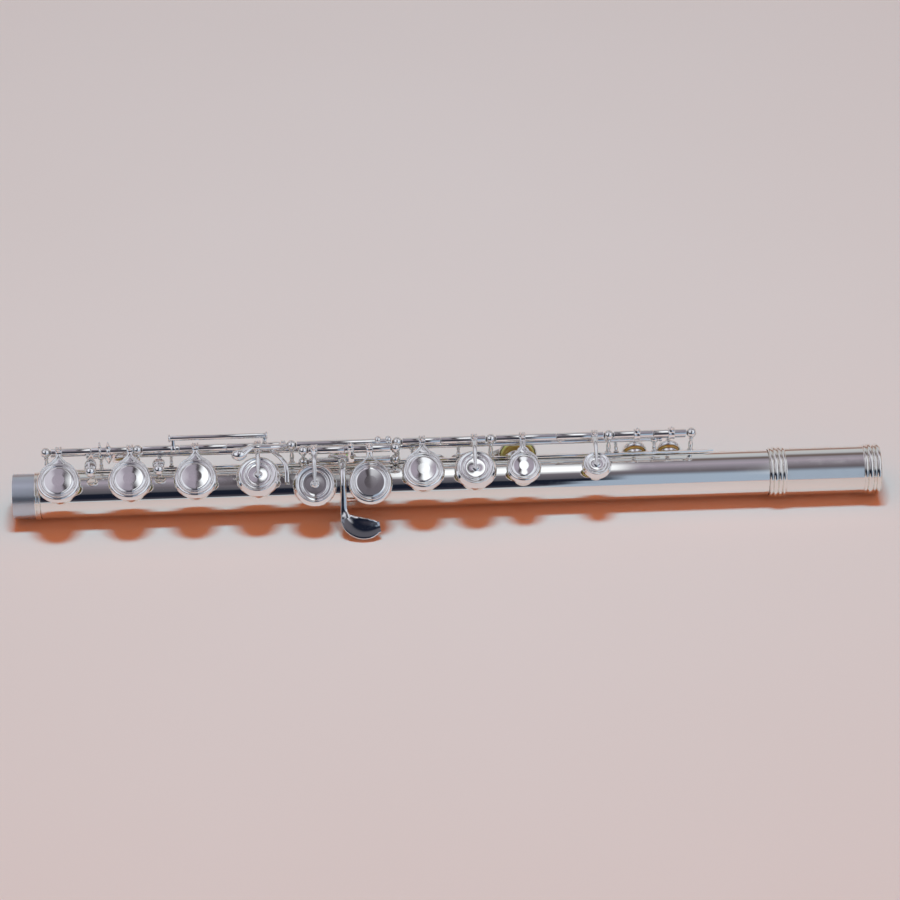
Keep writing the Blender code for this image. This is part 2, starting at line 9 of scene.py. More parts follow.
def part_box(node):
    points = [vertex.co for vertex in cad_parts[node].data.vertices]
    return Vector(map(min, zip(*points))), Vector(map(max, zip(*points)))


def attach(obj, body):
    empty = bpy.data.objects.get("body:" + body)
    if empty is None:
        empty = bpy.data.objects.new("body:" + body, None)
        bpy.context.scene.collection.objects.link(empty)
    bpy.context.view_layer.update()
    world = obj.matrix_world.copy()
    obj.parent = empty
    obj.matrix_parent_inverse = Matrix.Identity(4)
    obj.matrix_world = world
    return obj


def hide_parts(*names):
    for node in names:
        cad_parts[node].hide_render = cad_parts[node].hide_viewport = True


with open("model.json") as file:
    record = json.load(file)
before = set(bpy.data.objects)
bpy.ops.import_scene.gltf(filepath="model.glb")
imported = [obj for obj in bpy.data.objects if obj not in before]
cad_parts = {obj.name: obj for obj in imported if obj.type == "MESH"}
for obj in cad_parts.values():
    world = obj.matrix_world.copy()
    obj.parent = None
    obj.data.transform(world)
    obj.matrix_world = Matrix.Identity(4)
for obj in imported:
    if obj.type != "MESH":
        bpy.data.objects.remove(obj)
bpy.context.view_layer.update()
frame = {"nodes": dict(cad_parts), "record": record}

MM = 0.001

# ---- the frame's own measures --------------------------------------------------------
barrel_low, barrel_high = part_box("barrel")
AXIS = Vector((0, (barrel_low.y + barrel_high.y) / 2, (barrel_low.z + barrel_high.z) / 2))
BEAD_R = (barrel_high.z - barrel_low.z) / 2 / MM
ring_low, ring_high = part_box("tenon_ring")
tube_low, tube_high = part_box("body_tube")
TENON_END = tube_low.x / MM
TUBE_RIGHT = tube_high.x / MM
BARREL_LEFT = barrel_low.x / MM
BARREL_RIGHT = barrel_high.x / MM
RING_LEFT = ring_low.x / MM
RING_RIGHT = ring_high.x / MM
TENON_BEAD_R = (ring_high.z - ring_low.z) / 2 / MM
TUBE_R = 9.8
BORE_R = 9.4
SEAT_R = 9.65
SLEEVE_BORE = 9.95
BARREL_R = 10.25
RIM = 11.6
CHIMNEY_WALL = 0.45
PAD_CLEAR = 0.15
PAD_THICK = 2.5
PAD_PROUD = 0.7
CUP_WALL = 0.4
GAP = 0.3
ROD_R = 1.65
HINGE_BORE = 1.22
STEEL_R = 0.85
BALL_R = 2.2
SHAFT_R = 0.85
SMALL_BALL_R = 1.9
SMALL_SHAFT_R = 0.7
TRILL_ROD_R = 1.1
CAM_R = 1.3
OPEN_ANGLE = 10.5
THUMB_OPEN = 15.0
RIB_ANGLE = 31.0
THUMB_RIB_ANGLE = 132.0
RIB_HALF = 1.7
RIB_IN = 10.1
RIB_OUT = 10.9
MAIN_LEAN = -31.0
G_LEAN = -47.0
THUMB_LEAN = 82.0
GS_LEAN = 90.0
TRILL_LEAN = 70.0

hinge_of = {joint["child"]: Vector(joint["pos_m"]) for joint in frame["record"]["behaviour"]["joints"]}


def line_of(body):
    """(y, z) of a body's hinge, in millimetres round the tube's axis."""
    place = (hinge_of[body] - AXIS) / MM
    return place.y, place.z


def middle(node):
    low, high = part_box(node)
    return (low.x + high.x) / 2 / MM


def span(node):
    low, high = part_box(node)
    return low.x / MM, high.x / MM


RH_LINE = line_of("d_key")
LH_LINE = line_of("a_key")
G_LINE = line_of("g_upper_key")
GS_LINE = line_of("g_sharp_key")
THUMB_LINE = line_of("thumb_b_key")
D_TRILL_LINE = line_of("d_trill_lever")
DS_TRILL_LINE = line_of("d_sharp_trill_lever")

# ---- the keys: cup radius, hole radius, hinge tube, arm style ---------------------------
SHIFT = middle("d_pad") + 167.6
KEYS = {
    "d_key": (9.45, 6.6, -170.8, -154.0, "fork"),
    "e_key": (9.45, 6.6, -153.7, -136.3, "fork"),
    "f_key": (9.45, 6.6, -115.9, -96.0, "fork"),
    "f_sharp_key": (9.45, 6.6, -95.7, -81.0, "point"),
    "g_lower_key": (9.45, 6.6, -60.7, -45.5, "point"),
    "g_upper_key": (9.45, 6.6, -45.2, -25.7, "open fork"),
    "a_key": (9.2, 6.4, -20.2, -4.0, "web"),
    "b_flat_key": (9.1, 6.4, -3.7, 15.5, "point"),
    "c_key": (7.5, 4.9, 20.1, 46.0, "web"),
    "c_sharp_key": (6.35, 3.7, 46.3, 66.5, "point"),
}
TRILLS = {"d_trill_key": (71.1, 87.9), "d_sharp_trill_key": (88.2, 102.3)}
TRILL_CUP_R = 5.4
TRILL_HOLE_R = 3.4
THUMB_CUP_R = 8.5
THUMB_HOLE_R = 6.2


def polar(radius, angle):
    return radius * sin(radians(angle)), radius * cos(radians(angle))


# ---- shaping tools -------------------------------------------------------------------
def out_from_tube(x, angle):
    """Frame whose Z axis points out of the tube at an angle round it."""
    return Matrix.Translation((x, 0, 0)) @ Matrix.Rotation(radians(-angle), 4, "X")


def swing(line, degrees_down):
    """Turn about a hinge line; positive brings a key's front down."""
    centre = Matrix.Translation((0, line[0], line[1]))
    return centre @ Matrix.Rotation(radians(degrees_down), 4, "X") @ centre.inverted()


def along_x(line, x_from):
    return Matrix.Translation((x_from, line[0], line[1])) @ Matrix.Rotation(pi / 2, 4, "Y")


def eased(profile, reach, closed=False):
    """Rounds the corners of a (radius, height) outline."""
    points = [Vector(p) for p in profile]
    out = []
    count = len(points)
    for i, point in enumerate(points):
        if not closed and i in (0, count - 1):
            out.append(point)
            continue
        before = points[i - 1]
        after = points[(i + 1) % count]
        cut = min(reach, 0.45 * (before - point).length, 0.45 * (after - point).length)
        start = point + (before - point).normalized() * cut
        end = point + (after - point).normalized() * cut
        for t in (0.0, 0.25, 0.5, 0.75, 1.0):
            out.append(start.lerp(point, t).lerp(point.lerp(end, t), t))
    return out


def turned(profile, place, segments=64, closed=False, ease=0.12):
    """Solid of revolution about local Z from a (radius, height) outline."""
    bm = bmesh.new()
    verts = [bm.verts.new((r, 0, z)) for r, z in eased(profile, ease, closed)]
    edges = [bm.edges.new(pair) for pair in zip(verts, verts[1:])]
    if closed:
        edges.append(bm.edges.new((verts[-1], verts[0])))
    bmesh.ops.spin(
        bm, geom=verts + edges, cent=(0, 0, 0), axis=(0, 0, 1), angle=2 * pi, steps=segments, use_merge=True
    )
    bmesh.ops.remove_doubles(bm, verts=bm.verts[:], dist=0.0004)
    bmesh.ops.recalc_face_normals(bm, faces=bm.faces[:])
    bmesh.ops.transform(bm, matrix=place, verts=bm.verts[:])
    return bm


def rod(line, x_from, x_to, radius, segments=28, ease=0.15):
    length = x_to - x_from
    profile = [(0, 0), (radius, 0), (radius, length), (0, length)]
    return turned(profile, along_x(line, x_from), segments, ease=ease)


def sleeve(line, x_from, x_to, radius, segments=28):
    """Hinge tube, open through its middle."""
    profile = [(HINGE_BORE, x_from), (radius, x_from), (radius, x_to), (HINGE_BORE, x_to)]
    return turned(profile, along_x(line, 0), segments, closed=True, ease=0.15)


def ball(centre, radius, stretch=(1, 1, 1)):
    bm = bmesh.new()
    place = Matrix.Translation(centre) @ Matrix.Diagonal((*stretch, 1))
    bmesh.ops.create_uvsphere(bm, u_segments=28, v_segments=18, radius=radius, matrix=place)
    return bm


def curved(points, per_span):
    """Smooth run through rows of numbers, as a Catmull-Rom curve."""
    rows = [Vector(p) for p in points]
    ends = [rows[0] * 2 - rows[1]] + rows + [rows[-1] * 2 - rows[-2]]
    out = []
    for i in range(1, len(ends) - 2):
        a, b, c, d = ends[i - 1:i + 3]
        for step in range(per_span):
            t = step / per_span
            bend = (2 * a - 5 * b + 4 * c - d) * t * t
            twist = (3 * b - a - 3 * c + d) * t ** 3
            out.append(0.5 * (2 * b + (c - a) * t + bend + twist))
    out.append(rows[-1])
    return out


def swept(path, hint=None, square=2.4, dish=0.0, sides=20, per_span=6, round_ends=True):
    """Bar through (x, y, z, width, thickness) points; square 2 is oval, 4 nearly flat-sided."""
    rows = curved(path, per_span)
    centres = [Vector(row[:3]) for row in rows]
    sections = []
    last = len(rows) - 1
    for i, row in enumerate(rows):
        tangent = (centres[min(i + 1, last)] - centres[max(i - 1, 0)]).normalized()
        sections.append((centres[i], tangent, row[3], row[4]))
    if round_ends:
        head, tail = [], []
        for turn in (0.15, 0.4, 0.7, 0.9):
            grow = sin(turn * pi / 2)
            back = 1 - cos((1 - turn) * pi / 2)
            c, t, w, h = sections[0]
            head.append((c - t * 0.5 * min(w, h) * (1 - back), t, w * grow, h * grow))
            c, t, w, h = sections[-1]
            tail.insert(0, (c + t * 0.5 * min(w, h) * (1 - back), t, w * grow, h * grow))
        head.sort(key=lambda s: s[2])
        tail.sort(key=lambda s: -s[2])
        sections = head + sections + tail
    bm = bmesh.new()
    made = bmesh.ops.create_circle(bm, cap_ends=True, segments=sides, radius=1.0)
    for vert in made["verts"]:
        a = atan2(vert.co.y, vert.co.x)
        vert.co.x = abs(cos(a)) ** (2 / square) * (1 if cos(a) > 0 else -1)
        vert.co.y = abs(sin(a)) ** (2 / square) * (1 if sin(a) > 0 else -1)
        if dish and vert.co.y > 0:
            vert.co.y -= dish * (1 - vert.co.x ** 2)
    placed = None
    end = bm.faces[:]
    verts = bm.verts[:]
    for centre, tangent, width, thick in sections:
        out = Vector(hint) if hint else Vector((0, centre.y, centre.z))
        side = tangent.cross(out).normalized()
        up = side.cross(tangent).normalized()
        place = Matrix((
            (side.x * width / 2, up.x * thick / 2, tangent.x, centre.x),
            (side.y * width / 2, up.y * thick / 2, tangent.y, centre.y),
            (side.z * width / 2, up.z * thick / 2, tangent.z, centre.z),
            (0, 0, 0, 1),
        ))
        if placed is None:
            bmesh.ops.transform(bm, matrix=place, verts=verts)
        else:
            grown = bmesh.ops.extrude_face_region(bm, geom=end)["geom"]
            verts = [item for item in grown if isinstance(item, bmesh.types.BMVert)]
            end = [item for item in grown if isinstance(item, bmesh.types.BMFace)]
            bmesh.ops.transform(bm, matrix=place @ placed.inverted(), verts=verts)
        placed = place
    bmesh.ops.recalc_face_normals(bm, faces=bm.faces[:])
    return bm


def slab(outline, thickness, place, soften=0.2):
    """Flat plate from an outline in local X and Y, with softened edges."""
    bm = bmesh.new()
    face = bm.faces.new([bm.verts.new((x, y, -thickness / 2)) for x, y in outline])
    grown = bmesh.ops.extrude_face_region(bm, geom=[face])
    top = [item for item in grown["geom"] if isinstance(item, bmesh.types.BMVert)]
    bmesh.ops.translate(bm, vec=(0, 0, thickness), verts=top)
    bmesh.ops.recalc_face_normals(bm, faces=bm.faces[:])
    rims = [edge for edge in bm.edges if abs(edge.verts[0].co.z - edge.verts[1].co.z) < 1e-6]
    bmesh.ops.bevel(
        bm, geom=rims, offset=soften, offset_type="OFFSET", segments=3, profile=0.5, affect="EDGES", material=-1
    )
    bmesh.ops.transform(bm, matrix=place, verts=bm.verts[:])
    return bm


def finish_piece(name, solids, finish, replaced, body, sharp=38):
    """Joins solids into one object in its place in the frame and gives it to a body."""
    mesh = bpy.data.meshes.new(name)
    whole = bmesh.new()
    for solid in solids:
        part = bpy.data.meshes.new("part")
        solid.to_mesh(part)
        solid.free()
        whole.from_mesh(part)
        bpy.data.meshes.remove(part)
    bmesh.ops.scale(whole, vec=(MM, MM, MM), verts=whole.verts[:])
    bmesh.ops.translate(whole, vec=AXIS, verts=whole.verts[:])
    whole.to_mesh(mesh)
    whole.free()
    mesh.shade_smooth()
    mesh.set_sharp_from_angle(angle=radians(sharp))
    mesh.materials.append(finish)
    obj = bpy.data.objects.new(name, mesh)
    bpy.context.scene.collection.objects.link(obj)
    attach(obj, body)
    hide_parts(replaced)
    return obj


# ---- finishes ------------------------------------------------------------------------
def node(tree, kind, place=(0, 0), **values):
    made = tree.nodes.new(kind)
    made.location = place
    for key, value in values.items():
        setattr(made, key, value)
    return made


def handling_group():
    """Node group: finger smudges, hairline polishing marks and their fine relief."""
    tree = bpy.data.node_groups.new("handling marks", "ShaderNodeTree")
    for name, default in (("Smudge Size", 120.0), ("Hairline Size", 900.0), ("Hairline Stretch", 0.02)):
        socket = tree.interface.new_socket(name, in_out="INPUT", socket_type="NodeSocketFloat")
        socket.default_value = default
    for name in ("Smudge", "Hairline", "Dapple"):
        tree.interface.new_socket(name, in_out="OUTPUT", socket_type="NodeSocketFloat")
    source = node(tree, "NodeGroupInput", (-900, 0))
    result = node(tree, "NodeGroupOutput", (700, 0))
    coords = node(tree, "ShaderNodeTexCoord", (-900, -200))
    smudge = node(tree, "ShaderNodeTexNoise", (-400, 200))
    smudge.inputs["Detail"].default_value = 5.0
    smudge.inputs["Distortion"].default_value = 0.6
    tree.links.new(coords.outputs["Object"], smudge.inputs["Vector"])
    tree.links.new(source.outputs["Smudge Size"], smudge.inputs["Scale"])
    shaped = node(tree, "ShaderNodeMapRange", (-100, 200))
    shaped.inputs["From Min"].default_value = 0.42
    shaped.inputs["From Max"].default_value = 0.72
    tree.links.new(smudge.outputs["Fac"], shaped.inputs["Value"])
    tree.links.new(shaped.outputs["Result"], result.inputs["Smudge"])
    squeeze = node(tree, "ShaderNodeCombineXYZ", (-700, -200))
    squeeze.inputs["Y"].default_value = 1.0
    squeeze.inputs["Z"].default_value = 1.0
    tree.links.new(source.outputs["Hairline Stretch"], squeeze.inputs["X"])
    stretch = node(tree, "ShaderNodeVectorMath", (-500, -200), operation="MULTIPLY")
    tree.links.new(coords.outputs["Object"], stretch.inputs[0])
    tree.links.new(squeeze.outputs["Vector"], stretch.inputs[1])
    hair = node(tree, "ShaderNodeTexNoise", (-300, -200))
    hair.inputs["Detail"].default_value = 2.0
    tree.links.new(stretch.outputs["Vector"], hair.inputs["Vector"])
    tree.links.new(source.outputs["Hairline Size"], hair.inputs["Scale"])
    tree.links.new(hair.outputs["Fac"], result.inputs["Hairline"])
    dapple = node(tree, "ShaderNodeTexNoise", (-300, -500))
    dapple.inputs["Scale"].default_value = 45.0
    dapple.inputs["Detail"].default_value = 3.0
    tree.links.new(coords.outputs["Object"], dapple.inputs["Vector"])
    tree.links.new(dapple.outputs["Fac"], result.inputs["Dapple"])
    return tree


HANDLING = handling_group()


def new_finish(name):
    made = bpy.data.materials.new(name)
    made.use_nodes = True
    return made, made.node_tree, made.node_tree.nodes["Principled BSDF"]


def mixed(tree, factor, first, second, place):
    """Colour between two colours by a factor."""
    mix = node(tree, "ShaderNodeMix", place, data_type="RGBA")
    tree.links.new(factor, mix.inputs["Factor"])
    mix.inputs["A"].default_value = (*first, 1)
    mix.inputs["B"].default_value = (*second, 1)
    return mix.outputs["Result"]


def ranged(tree, value, low, high, place):
    """A 0..1 value carried to low..high."""
    made = node(tree, "ShaderNodeMapRange", place)
    tree.links.new(value, made.inputs["Value"])
    made.inputs["To Min"].default_value = low
    made.inputs["To Max"].default_value = high
    return made.outputs["Result"]


def silver(name, bright, warm, rough_low, rough_high, relief, smudge_size=130.0):
    """Polished silver plate with smudges, hairlines and a little warmth where it has tarnished."""
    made, tree, shader = new_finish(name)
    marks = node(tree, "ShaderNodeGroup", (-900, 0), node_tree=HANDLING)
    marks.inputs["Smudge Size"].default_value = smudge_size
    shader.inputs["Metallic"].default_value = 1.0
    colour = mixed(tree, marks.outputs["Dapple"], bright, warm, (-300, 200))
    tree.links.new(colour, shader.inputs["Base Color"])
    rough = ranged(tree, marks.outputs["Smudge"], rough_low, rough_high, (-300, -100))
    tree.links.new(rough, shader.inputs["Roughness"])
    bump = node(tree, "ShaderNodeBump", (-300, -350))
    bump.inputs["Strength"].default_value = relief
    bump.inputs["Distance"].default_value = 0.00002
    tree.links.new(marks.outputs["Hairline"], bump.inputs["Height"])
    tree.links.new(bump.outputs["Normal"], shader.inputs["Normal"])
    return made


def tube_silver():
    """Silver of the body, dull and drawn along the tube on the tenon."""
    made = silver("body silver plate", (0.93, 0.92, 0.90), (0.89, 0.87, 0.83), 0.035, 0.10, 0.10)
    tree = made.node_tree
    shader = tree.nodes["Principled BSDF"]
    coords = node(tree, "ShaderNodeTexCoord", (-1100, 500))
    split = node(tree, "ShaderNodeSeparateXYZ", (-900, 500))
    tree.links.new(coords.outputs["Object"], split.inputs["Vector"])
    mask = node(tree, "ShaderNodeMapRange", (-700, 500))
    edge = (RING_LEFT + 1.0) * MM
    mask.inputs["From Min"].default_value = edge + 0.0002
    mask.inputs["From Max"].default_value = edge - 0.0002
    tree.links.new(split.outputs["X"], mask.inputs["Value"])
    changes = (("Base Color", "RGBA", (0.60, 0.64, 0.70, 1), 300), ("Roughness", "FLOAT", 0.33, 0))
    for name, kind, on_tenon, row in changes:
        blend = node(tree, "ShaderNodeMix", (-80, row), data_type=kind)
        tree.links.new(mask.outputs["Result"], blend.inputs["Factor"])
        tree.links.new(shader.inputs[name].links[0].from_socket, blend.inputs["A"])
        blend.inputs["B"].default_value = on_tenon
        tree.links.new(blend.outputs["Result"], shader.inputs[name])
    return made


def pad_skin():
    """Yellow bladder skin, darker where it is browned."""
    made, tree, shader = new_finish("bladder skin")
    coords = node(tree, "ShaderNodeTexCoord", (-900, 0))
    blotch = node(tree, "ShaderNodeTexNoise", (-700, 100))
    blotch.inputs["Scale"].default_value = 380.0
    blotch.inputs["Detail"].default_value = 4.0
    tree.links.new(coords.outputs["Object"], blotch.inputs["Vector"])
    colour = mixed(tree, blotch.outputs["Fac"], (0.86, 0.72, 0.24), (0.62, 0.46, 0.12), (-300, 200))
    tree.links.new(colour, shader.inputs["Base Color"])
    tree.links.new(ranged(tree, blotch.outputs["Fac"], 0.3, 0.6, (-300, -50)), shader.inputs["Roughness"])
    shader.inputs["Subsurface Weight"].default_value = 0.15
    shader.inputs["Subsurface Radius"].default_value = (0.001, 0.0006, 0.0003)
    shader.inputs["Coat Weight"].default_value = 0.25
    wrinkle = node(tree, "ShaderNodeTexNoise", (-700, -300))
    wrinkle.inputs["Scale"].default_value = 1500.0
    tree.links.new(coords.outputs["Object"], wrinkle.inputs["Vector"])
    bump = node(tree, "ShaderNodeBump", (-300, -300))
    bump.inputs["Strength"].default_value = 0.3
    bump.inputs["Distance"].default_value = 0.00005
    tree.links.new(wrinkle.outputs["Fac"], bump.inputs["Height"])
    tree.links.new(bump.outputs["Normal"], shader.inputs["Normal"])
    return made


def steel(name, bright, dark, rough):
    """Ground or tempered steel with fine lengthwise grain."""
    made, tree, shader = new_finish(name)
    marks = node(tree, "ShaderNodeGroup", (-900, 0), node_tree=HANDLING)
    marks.inputs["Hairline Size"].default_value = 2400.0
    shader.inputs["Metallic"].default_value = 1.0
    tree.links.new(mixed(tree, marks.outputs["Dapple"], bright, dark, (-300, 200)), shader.inputs["Base Color"])
    tree.links.new(
        ranged(tree, marks.outputs["Hairline"], rough, rough + 0.15, (-300, -50)), shader.inputs["Roughness"]
    )
    return made


TUBE = tube_silver()
BARREL = silver("barrel silver plate", (0.91, 0.89, 0.86), (0.86, 0.83, 0.78), 0.05, 0.13, 0.15)
KEYWORK = silver("keywork silver plate", (0.94, 0.93, 0.92), (0.88, 0.87, 0.86), 0.04, 0.12, 0.12, 220.0)
POSTS = silver("post silver plate", (0.92, 0.91, 0.90), (0.84, 0.83, 0.81), 0.06, 0.14, 0.12, 300.0)
PAD = pad_skin()
ROD_STEEL = steel("ground rod steel", (0.62, 0.62, 0.63), (0.45, 0.45, 0.47), 0.22)
SPRING = steel("blued spring steel", (0.16, 0.19, 0.30), (0.07, 0.08, 0.12), 0.25)


# ---- tube, ring and barrel -----------------------------------------------------------
def tone_holes():
    holes = []
    for name, (_, hole, _, _, _) in KEYS.items():
        angle = G_LEAN if name.startswith("g_") else MAIN_LEAN
        holes.append((middle(name.replace("_key", "_pad")), angle, hole))
    holes.append((middle("thumb_b_pad"), THUMB_LEAN, THUMB_HOLE_R))
    holes.append((middle("g_sharp_pad"), GS_LEAN, THUMB_HOLE_R))
    holes += [(middle(name.replace("_key", "_pad")), TRILL_LEAN, TRILL_HOLE_R) for name in TRILLS]
    return holes


def scratch_object(name, bm):
    mesh = bpy.data.meshes.new(name)
    bm.to_mesh(mesh)
    bm.free()
    obj = bpy.data.objects.new(name, mesh)
    bpy.context.scene.collection.objects.link(obj)
    return obj


def carved(solid, joined, cuts):
    """One closed solid: joined pieces added, cuts taken away."""
    obj = scratch_object("carved", solid)
    helpers = []
    for operation, group in (("UNION", joined), ("DIFFERENCE", cuts)):
        for bm in group:
            helper = scratch_object("helper", bm)
            change = obj.modifiers.new("shape", "BOOLEAN")
            change.operation = operation
            change.solver = "MANIFOLD"
            change.object = helper
            helpers.append(helper)
    bpy.context.view_layer.update()
    shaped = bpy.data.meshes.new_from_object(obj.evaluated_get(bpy.context.evaluated_depsgraph_get()))
    bm = bmesh.new()
    bm.from_mesh(shaped)
    for item in helpers + [obj]:
        bpy.data.objects.remove(item, do_unlink=True)
    return bm


def upright(x, angle, radius, low, high):
    profile = [(0, low), (radius, low), (radius, high), (0, high)]
    return turned(profile, out_from_tube(x, angle), 48, ease=0.0001)


def body_tube():
    left = RING_RIGHT + GAP
    right = BARREL_LEFT - GAP
    profile = [
        (BORE_R, TENON_END), (SEAT_R, TENON_END), (SEAT_R, left), (TUBE_R, left),
        (TUBE_R, right), (SEAT_R, right), (SEAT_R, TUBE_RIGHT), (BORE_R, TUBE_RIGHT),
    ]
    tube = turned(profile, along_x((0, 0), 0), 128, closed=True, ease=0.08)
    chimneys = []
    cuts = []
    for x, angle, hole in tone_holes():
        chimney = [(hole, 8.0), (hole + CHIMNEY_WALL, 8.0), (hole + CHIMNEY_WALL, RIM - 0.25),
                   (hole + CHIMNEY_WALL + 0.12, RIM), (hole, RIM)]
        chimneys.append(turned(chimney, out_from_tube(x, angle), 48, closed=True, ease=0.06))
        cuts.append(upright(x, angle, hole, 5.0, RIM + 3))
    bore = rod((0, 0), TENON_END - 5, TUBE_RIGHT + 5, BORE_R, 128, ease=0.0001)
    solid = carved(tube, chimneys, cuts + [bore])
    finish_piece("body_tube_silver", [solid], TUBE, "body_tube", "body", sharp=30)


def bead_run(profile, start, beads, wall_r):
    """Adds half-round beads of (width, crest radius) from a start along an outline."""
    at = start
    for width, crest in beads:
        half = 0.47 * width
        mid = at + width / 2
        profile.append((wall_r, mid - half))
        for turn in (30, 60, 90, 120, 150):
            rise = (crest - wall_r) * sin(radians(turn))
            profile.append((wall_r + rise, mid - half * cos(radians(turn))))
        profile.append((wall_r, mid + half))
        at += width
    return at


def sleeves():
    outline = [(SLEEVE_BORE, RING_LEFT), (10.12, RING_LEFT)]
    crest = TENON_BEAD_R - 0.02
    bead_run(outline, RING_LEFT + 0.03, [(0.8, crest), (0.6, 10.28), (0.9, crest)], 10.1)
    outline += [(10.12, RING_RIGHT), (SLEEVE_BORE, RING_RIGHT)]
    ring = turned(outline, along_x((0, 0), 0), 128, closed=True, ease=0.04)
    finish_piece("tenon_ring_silver", [ring], BARREL, "tenon_ring", "body")
    outline = [(SLEEVE_BORE, BARREL_LEFT), (10.3, BARREL_LEFT)]
    crest = BEAD_R - 0.02
    left = [(1.5, crest - 0.3), (2.1, crest), (1.9, crest - 0.05), (1.6, crest - 0.25)]
    bead_run(outline, BARREL_LEFT + 0.1, left, 10.3)
    outline += [(BARREL_R, BARREL_LEFT + 7.4), (BARREL_R, BARREL_RIGHT - 7.6)]
    right = [(1.6, crest - 0.35), (2.4, crest), (1.3, crest - 0.3), (2.0, crest - 0.05)]
    bead_run(outline, BARREL_RIGHT - 7.4, right, 10.3)
    outline += [(10.45, BARREL_RIGHT - 0.08), (10.3, BARREL_RIGHT), (SLEEVE_BORE, BARREL_RIGHT)]
    barrel = turned(outline, along_x((0, 0), 0), 128, closed=True, ease=0.05)
    finish_piece("barrel_silver", [barrel], BARREL, "barrel", "body")


# ---- posts, ribs and steels -----------------------------------------------------------
def post(x, foot, head, ball_r, shaft_r):
    """Turned post: foot flange, vase-shaped shaft, two necks and a ball head."""
    start = Vector((x, *foot))
    end = Vector((x, *head))
    length = (end - start).length
    lean = atan2(head[0] - foot[0], head[1] - foot[1])
    place = Matrix.Translation(start) @ Matrix.Rotation(-lean, 4, "X")
    neck = length - ball_r
    profile = [
        (0, 0), (shaft_r * 1.7, 0), (shaft_r * 1.7, 0.45), (shaft_r * 0.95, 0.8), (shaft_r * 1.2, 0.34 * neck),
        (shaft_r * 1.3, 0.52 * neck), (shaft_r * 0.75, 0.8 * neck), (shaft_r * 1.25, 0.86 * neck),
        (shaft_r * 1.25, 0.93 * neck), (shaft_r * 0.8, 0.98 * neck), (shaft_r * 0.8, neck + 0.6), (0, length),
    ]
    return [turned(profile, place, 32, ease=0.3), ball(end, ball_r)]


def strap(x_from, x_to, angle):
    """Rib: a thin flat strap with pointed ends, laid along the tube."""
    point = 2.6 * RIB_HALF
    outline = [
        (x_from, 0), (x_from + point, -RIB_HALF), (x_to - point, -RIB_HALF), (x_to, 0),
        (x_to - point, RIB_HALF), (x_from + point, RIB_HALF),
    ]
    return slab(outline, RIB_OUT - RIB_IN, out_from_tube(0, angle) @ Matrix.Translation((0, 0, 10.5)), 0.22)


def rib(name, angle, posts):
    solids = [strap(*span(name), angle)]
    for x, foot_angle, line, ball_r, shaft_r in posts:
        solids += post(x, polar(RIB_OUT - 0.1, foot_angle), line, ball_r, shaft_r)
    finish_piece(name + "_silver", solids, POSTS, name, "body")


def g_post(x):
    return [(x, 24.0, GS_LINE, BALL_R, 0.9), (x, 21.8, G_LINE, BALL_R, 0.8)]


def trill_post(x, line):
    foot_angle = 31.0 if line is DS_TRILL_LINE else 36.0
    return x, foot_angle, line, SMALL_BALL_R, SMALL_SHAFT_R


def ribs():
    s = SHIFT
    right = [(x + s, RIB_ANGLE, RH_LINE, BALL_R, SHAFT_R) for x in (-173.2, -134.0, -68.0)]
    right += [trill_post(-150.0 + s, DS_TRILL_LINE), trill_post(-120.0 + s, D_TRILL_LINE)]
    rib("right_hand_rib", RIB_ANGLE, right + g_post(-63.0 + s))
    left = [(x + s, RIB_ANGLE, LH_LINE, BALL_R, SHAFT_R) for x in (-22.5, 17.8, 68.8, 104.6)]
    left += [trill_post(x + s, DS_TRILL_LINE) for x in (-16.0, 88.9)]
    left += [trill_post(x + s, D_TRILL_LINE) for x in (4.0, 72.4)]
    rib("left_hand_rib", RIB_ANGLE, left + g_post(-23.4 + s))
    thumb = [(x + s, THUMB_RIB_ANGLE, THUMB_LINE, BALL_R, SHAFT_R) for x in (-18.0, 17.5)]
    rib("thumb_rib", THUMB_RIB_ANGLE, thumb)


def steels():
    lines = {
        "right_hand_steel": RH_LINE, "left_hand_steel": LH_LINE, "g_steel": G_LINE,
        "g_sharp_steel": GS_LINE, "thumb_steel": THUMB_LINE,
    }
    for name, line in lines.items():
        x_from, x_to = span(name)
        head = [(0, x_from + 0.3), (0.25, x_from + 0.3), (0.3, x_from), (STEEL_R, x_from)]
        tail = [(STEEL_R, x_to), (0.3, x_to), (0.25, x_to - 0.3), (0, x_to - 0.3)]
        bar = turned(head + tail, along_x(line, 0), 24, ease=0.08)
        finish_piece(name + "_rod", [bar], ROD_STEEL, name, "body")


# ---- keys -------------------------------------------------------------------------------
def key_silver(name, solids, body):
    finish_piece(name + "_silver", solids, KEYWORK, name, body)


def flat_cup(place, radius, gap, disc):
    """Closed cup with a rolled skirt, two raised rings and a slightly crowned touch disc."""
    edge = RIM + gap + PAD_PROUD
    roof = RIM + gap + PAD_THICK + GAP
    top = roof + CUP_WALL
    pocket = radius - CUP_WALL - 0.25
    profile = [
        (0, roof), (pocket, roof), (pocket, edge), (radius - 0.3, edge), (radius, edge + 0.3),
        (radius, edge + 1.1), (radius - 0.25, top - 0.75), (radius - 0.75, top - 0.1),
        (radius - 1.25, top + 0.1), (radius - 1.6, top + 0.02), (disc + 1.0, top + 0.1),
        (disc + 0.8, top + 0.55), (disc + 0.35, top + 0.62), (disc + 0.1, top + 0.38),
        (disc - 0.25, top + 0.36), (disc - 0.6, top + 0.6), (disc - 1.1, top + 0.72),
        (0.4 * disc, top + 0.86), (0, top + 0.9),
    ]
    return turned(profile, place, 96, ease=0.22)


